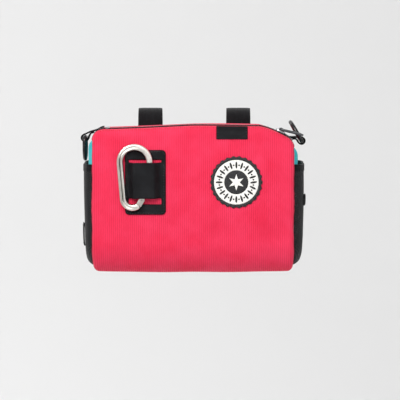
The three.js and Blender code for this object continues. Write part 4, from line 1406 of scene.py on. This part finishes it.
def band_along(name, path, x_low, x_high, thickness):
    """A flat woven band whose middle follows a path in the Y-Z plane, as (y, z) pairs."""
    normal = flat_normals(path)
    xs = np.linspace(x_low, x_high, 13)
    crown = thickness / 2 - 0.35 * MM * np.abs(np.linspace(-1, 1, 13)) ** 6
    sides = []
    for sign in (1, -1):
        yz = path + sign * normal * crown[:, None, None]
        x = np.broadcast_to(xs[:, None, None], yz.shape[:2] + (1,))
        sides.append(np.concatenate([x, yz], axis=2))
    return closed_band(name, *sides, xs, running_length(path))


def add_bar_strap(name):
    """A loop of webbing with its tail lapped over it, and the boxed cross that sews its leg down."""
    low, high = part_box(f"bar_strap_{name}")
    middle = LOOP_RADIUS + STRAP_THICKNESS / 2
    leg = np.stack([np.full(24, -middle), np.linspace(-STRAP_LEG, -0.4 * MM, 24)], axis=1)
    loop = np.concatenate([leg, arc_path(middle, 180, -138, 90)])
    inner = band_along("inner", loop, low.x, high.x, STRAP_THICKNESS)
    over = arc_path(middle + STRAP_THICKNESS, 205, 15, 60)
    tail = over[-1] + np.array([[0.35, -1.0], [0.9, -2.2]]) * MM
    lap = np.concatenate([over, tail])
    outer = band_along("outer", lap, low.x, high.x, STRAP_THICKNESS * 0.9)
    strap = join_pieces(f"bar_strap_{name}_webbing", [inner, outer])
    finish_piece(strap, WEBBING, replaces=[f"bar_strap_{name}"])

    left, right = low.x + SEWN_EDGE, high.x - SEWN_EDGE
    foot, head = SEWN_EDGE - STRAP_LEG, SEWN_HEIGHT - STRAP_LEG
    box = ((left, foot), (right, foot), (right, head), (left, head), (left, foot), (right, head))
    cross = ((left, head), (right, foot))
    rows = []
    for corners in (box, cross):
        line = stepped(corners, [11] * (len(corners) - 1))
        rows.append((np.insert(line, 1, -LOOP_RADIUS - 0.05 * MM, axis=1), (0, 1, 0)))
    bead_row(f"bar_strap_{name}_stitches", rows, EDGE_PITCH, EDGE_STITCH, BLACK_THREAD)


for strap_name in ("left", "right"):
    add_bar_strap(strap_name)


# The rings at the top corners, each in a webbing tab. A ring hangs when its turn is 0.

RING_BAR = 4.4 * MM
RING_CORNER = 2.8 * MM
RING_HALF = 12.8 * MM
RING_DROP = 26 * MM
RING_OUT = 9.4 * MM
RING_TURN = {"left": 0, "right": 150}
RING_BELOW_CORNER = {"left": 5.6 * MM, "right": 1.1 * MM}
TAB_THICKNESS = 1.5 * MM
TAB_PLAY = 0.5 * MM
TAB_SEWN = np.array([10, 8, 6, 3]) * MM  # distances of its sewn part from the end of the shell


def ring_outline():
    """The ring's middle line from its straight bar round, as (y, z) pairs about the bar's middle."""
    flat = RING_HALF - RING_CORNER
    arc = np.array([0, RING_HALF + RING_BAR - RING_DROP]) - arc_path(RING_HALF, 0, 180, 33)
    right = arc_path(RING_CORNER, 90, 0, 7) + [flat, -RING_CORNER]
    left = right[::-1] * [-1, 1]
    bar = np.stack([np.linspace(-flat, flat, 12), np.zeros(12)], axis=1)
    return np.concatenate([left[:-1], bar[:-1], right, arc[::-1]])


def ring_pivot(name):
    """The middle of a ring's straight bar."""
    side = ENDS[name][0]
    low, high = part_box(f"ring_tab_{name}")
    below = float(top_at(side * HALF_WIDTH)) - RING_BELOW_CORNER[name]
    return np.array([side * (HALF_WIDTH + RING_OUT), (low.y + high.y) / 2, below])


def add_ring(name):
    """A moulded D ring."""
    outline = ring_outline()
    angle = math.radians(ENDS[name][0] * RING_TURN[name])
    path = np.stack(
        [outline[:, 1] * math.sin(angle), outline[:, 0], outline[:, 1] * math.cos(angle)], axis=1
    )
    sideways = np.array([math.cos(angle), 0, -math.sin(angle)])
    section = rounded_section(RING_BAR, RING_BAR * 0.92, 2.4, 18)
    around = ring_pivot(name) + path
    ring = sweep(f"shoulder_ring_{name}", around, sideways, lambda k: section, closed=True)
    finish_piece(ring, ACETAL, replaces=[f"d_ring_{name}"])


def add_ring_tab(name):
    """The webbing that is folded round a ring's bar and sewn to the shell, with its two stitch rows.
    Its line is in pairs: outwards from the pivot, and up."""
    side = ENDS[name][0]
    low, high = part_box(f"ring_tab_{name}")
    pivot = ring_pivot(name)
    radius = RING_BAR / 2 + TAB_PLAY + TAB_THICKNESS / 2
    sewn = side * (HALF_WIDTH - TAB_SEWN)
    sewn_z = shell_point(sewn, 7.5)[:, 2] + 1.0 * MM - pivot[2]
    middle_z = radius + 0.5 * max(sewn_z[-1] - radius, 0) + 0.3 * MM
    over = np.stack([-TAB_SEWN - RING_OUT, sewn_z], axis=1)
    over = np.vstack([over, [-RING_OUT * 0.5, middle_z]])
    back_x = np.array([0.55, 0.95]) * -RING_OUT
    back_z = np.interp(back_x, over[:, 0], over[:, 1]) - TAB_THICKNESS - 0.1 * MM
    under = np.stack([back_x, back_z], axis=1)
    line = smooth_path(np.concatenate([over, arc_path(radius, 90, -150, 21), under]), 60)

    ys = np.linspace(low.y, high.y, 11)
    sides = []
    for sign in (-1, 1):
        out, up = (line + sign * flat_normals(line) * TAB_THICKNESS / 2).T
        place = np.broadcast_arrays(pivot[0] + side * out, ys[:, None], pivot[2] + up)
        sides.append(np.stack(place, axis=-1))
    tab = closed_band(f"ring_tab_{name}_webbing", *sides, ys, running_length(line))
    finish_piece(tab, WEBBING, replaces=[f"ring_tab_{name}"])

    row_y = np.linspace(low.y + 1.5 * MM, high.y - 1.5 * MM, 9)
    rows = []
    for k in (1, -1):
        row = np.broadcast_arrays(sewn[k], row_y, sewn_z[k] + pivot[2] + 0.8 * MM)
        rows.append((np.stack(row, axis=1), (0, 0, 1)))
    bead_row(f"ring_tab_{name}_stitches", rows, FINE_PITCH, FINE_STITCH, BLACK_THREAD)


for ring_name in ("left", "right"):
    add_ring(ring_name)
    add_ring_tab(ring_name)


# The zip's slider and puller. The slider's own sizes are in millimetres, and its levels are shares of
# its outline with their heights.

SLIDER_REACH = 5.0
SLIDER_HALF = 3.6
SLIDER_LEVELS = ((0.9, -0.2), (1.0, 0.1), (1.0, 1.2), (0.93, 1.6), (0.6, 1.75), (0.0, 1.8))
PULLER_REACH = 24 * MM
PULLER_HALF = 4.4 * MM
PULLER_STRAND = (2.4 * MM, 2.0 * MM)


def slider_axes():
    """A point over the zip at the slider, and the directions along the zip, across it and up."""
    low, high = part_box("zip_slider")
    x = (low.x + high.x) / 2
    at, up = lifted(x, ZIP_MIDDLE, SLIDER_LIFT)
    ahead, _ = lifted(x + 1 * MM, ZIP_MIDDLE, SLIDER_LIFT)
    along = (ahead - at) / np.linalg.norm(ahead - at)
    return at, along, np.cross(up, along), up


def add_slider():
    """The slider: a waisted plate, rounded over its top, with a bridge for the puller."""
    at, along, across, up = slider_axes()

    def place(local):
        """Puts points along, across and up from the slider, in millimetres, in the scene."""
        return at + np.asarray(local) @ np.array([along, across, up]) * MM

    turn = np.linspace(0, 2 * math.pi, 36, endpoint=False)
    ahead, aside = np.cos(turn), np.sin(turn)
    waist = 1 - 0.22 * (1 - ahead) / 2
    long = SLIDER_REACH * np.sign(ahead) * np.abs(ahead) ** 0.6
    wide = SLIDER_HALF * np.sign(aside) * np.abs(aside) ** 0.7 * waist
    rings = [[(a * share, b * share, up_by) for share, up_by in SLIDER_LEVELS] for a, b in zip(long, wide)]
    top = grid_object("slider_top", place(rings), wrap_columns=True)
    rim = [ring[0] for ring in rings]
    foot = new_object("slider_foot", place(rim), [tuple(reversed(range(len(rim))))])
    plate = face_outwards(join_pieces("slider_plate", [top, foot]))
    arch = arc_path(1, 0, 180, 17)
    line = place(np.stack([3.1 * arch[:, 0], 0 * arch[:, 0], 1.5 + 2.6 * arch[:, 1]], axis=1))
    strip = rounded_section(1.1 * MM, 2.4 * MM, 3.5, 14)
    bridge = sweep("slider_bridge", line, across, lambda k: strip)
    slider = shade_by_angle(join_pieces("zip_slider_body", [plate, bridge]), 40)
    finish_piece(slider, NICKEL, replaces=["zip_slider"])


def add_puller():
    """The looped grip in the slider's bridge, which lies over towards the end of the bag."""
    at, along, _, up = slider_axes()
    low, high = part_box("zip_pull")
    start = at + along * 2.2 * MM + up * 3.0 * MM
    target = np.array([high.x - 1.2 * MM, (low.y + high.y) / 2 + 4.5 * MM, high.z - 9.5 * MM])
    ahead = (target - start) / np.linalg.norm(target - start)
    flat = np.cross(ahead, up)
    flat /= np.linalg.norm(flat)
    near = arc_path(PULLER_HALF, 90, 270, 15) * [0.8, 0.72]
    far = arc_path(PULLER_HALF, -90, 90, 15) + [PULLER_REACH - PULLER_HALF * 1.6, 0]
    loop = smooth_path(np.concatenate([near, far, near[:1]]), 72)[:-1]
    path = start + loop[:, :1] * ahead + loop[:, 1:] * flat
    strand = rounded_section(*PULLER_STRAND, 2.6, 16)
    grip = sweep("zip_puller", path, np.cross(flat, ahead), lambda k: strand, closed=True)
    finish_piece(grip, GREY_ACETAL, replaces=["zip_pull"])


add_slider()
add_puller()


# Floor, backdrop, camera and lights. The picture is 400 mm across at the bag's front.

CAMERA_AWAY = 1.8
CAMERA_X = 7 * MM
CAMERA_ABOVE_TOP = 74 * MM
AIM_BELOW_CAMERA = 147.5 * MM
LENS = 162
SENSOR = 36
FLOOR = -0.9
STAGE_RADIUS = 3.6
STAGE_BEND = 1.2
STAGE_TOP = 3.0


def add_stage():
    """A paper floor that curves up into a wall all round."""
    bend = arc_path(STAGE_BEND, -90, 0, 13)
    away = np.concatenate([[0.001], STAGE_RADIUS - STAGE_BEND + bend[:, 0], [STAGE_RADIUS]])
    height = np.concatenate([[FLOOR], FLOOR + STAGE_BEND + bend[:, 1], [STAGE_TOP]])
    turn = np.linspace(0, 2 * math.pi, 64, endpoint=False)[:, None]
    points = np.stack([away * np.cos(turn), away * np.sin(turn), height + 0 * turn], axis=-1)
    backdrop = grid_object("backdrop", points, wrap_columns=True)
    material, tree = new_material("matt_paper")
    place = add_node(tree, "ShaderNodeTexCoord").outputs["Object"]
    clouds = add_node(tree, "ShaderNodeTexNoise", {"Vector": place, "Scale": 0.7}).outputs["Fac"]
    colour = add_node(
        tree,
        "ShaderNodeMix",
        {0: clouds, 6: hex_colour("#E1E1E1"), 7: hex_colour("#E5E5E5")},
        data_type="RGBA",
    ).outputs[2]
    shader = add_node(tree, "ShaderNodeBsdfPrincipled", {"Base Color": colour, "Roughness": 0.9})
    add_node(tree, "ShaderNodeOutputMaterial", {"Surface": shader.outputs[0]})
    backdrop.data.materials.append(material)


def add_camera():
    """A long lens a little above the bag, looking down on its front."""
    data = bpy.data.cameras.new("view")
    data.lens = LENS
    data.sensor_width = SENSOR
    data.clip_start = 0.01
    camera = place_object("view", data)
    camera.location = (CAMERA_X, FRONT - CAMERA_AWAY, TOP + CAMERA_ABOVE_TOP)
    pitch = math.atan(AIM_BELOW_CAMERA / CAMERA_AWAY)
    camera.rotation_euler = (math.radians(90) - pitch, 0, 0)
    bpy.context.scene.camera = camera


def add_light(name, place, size, energy, colour, aim=(0, -0.06, -0.07)):
    """A soft rectangular light, turned towards aim. Its energy is in watts."""
    data = bpy.data.lights.new(name, "AREA")
    data.shape = "RECTANGLE"
    data.size, data.size_y = size
    data.energy = energy
    data.color = hex_colour(colour)[:3]
    light = place_object(name, data)
    light.location = place
    light.rotation_euler = (Vector(aim) - Vector(place)).to_track_quat("-Z", "Y").to_euler()


def add_world():
    """Even light from all round."""
    world = bpy.data.worlds.new("studio")
    bpy.context.scene.world = world
    world.use_nodes = True
    tree = world.node_tree
    tree.nodes.clear()
    sky = add_node(tree, "ShaderNodeBackground", {"Color": hex_colour("#F7F7F7"), "Strength": 0.7})
    add_node(tree, "ShaderNodeOutputWorld", {"Surface": sky.outputs[0]})


add_stage()
add_camera()
add_light("key", (-0.4, -1.35, 0.7), (0.9, 0.7), 20, "#FFFDFA")
add_light("fill", (1.9, -2.0, 0.6), (1.4, 1.4), 10, "#F6F9FF")
add_light("back", (0.6, 1.6, 1.2), (1.6, 1.0), 10, "#FFFFFF")
add_light("backdrop", (-1.5, 0.9, 1.9), (1.6, 0.8), 47, "#FFFFFF", (-1.0, 3.2, 0.0))
add_world()
bpy.context.scene.view_settings.view_transform = "Standard"
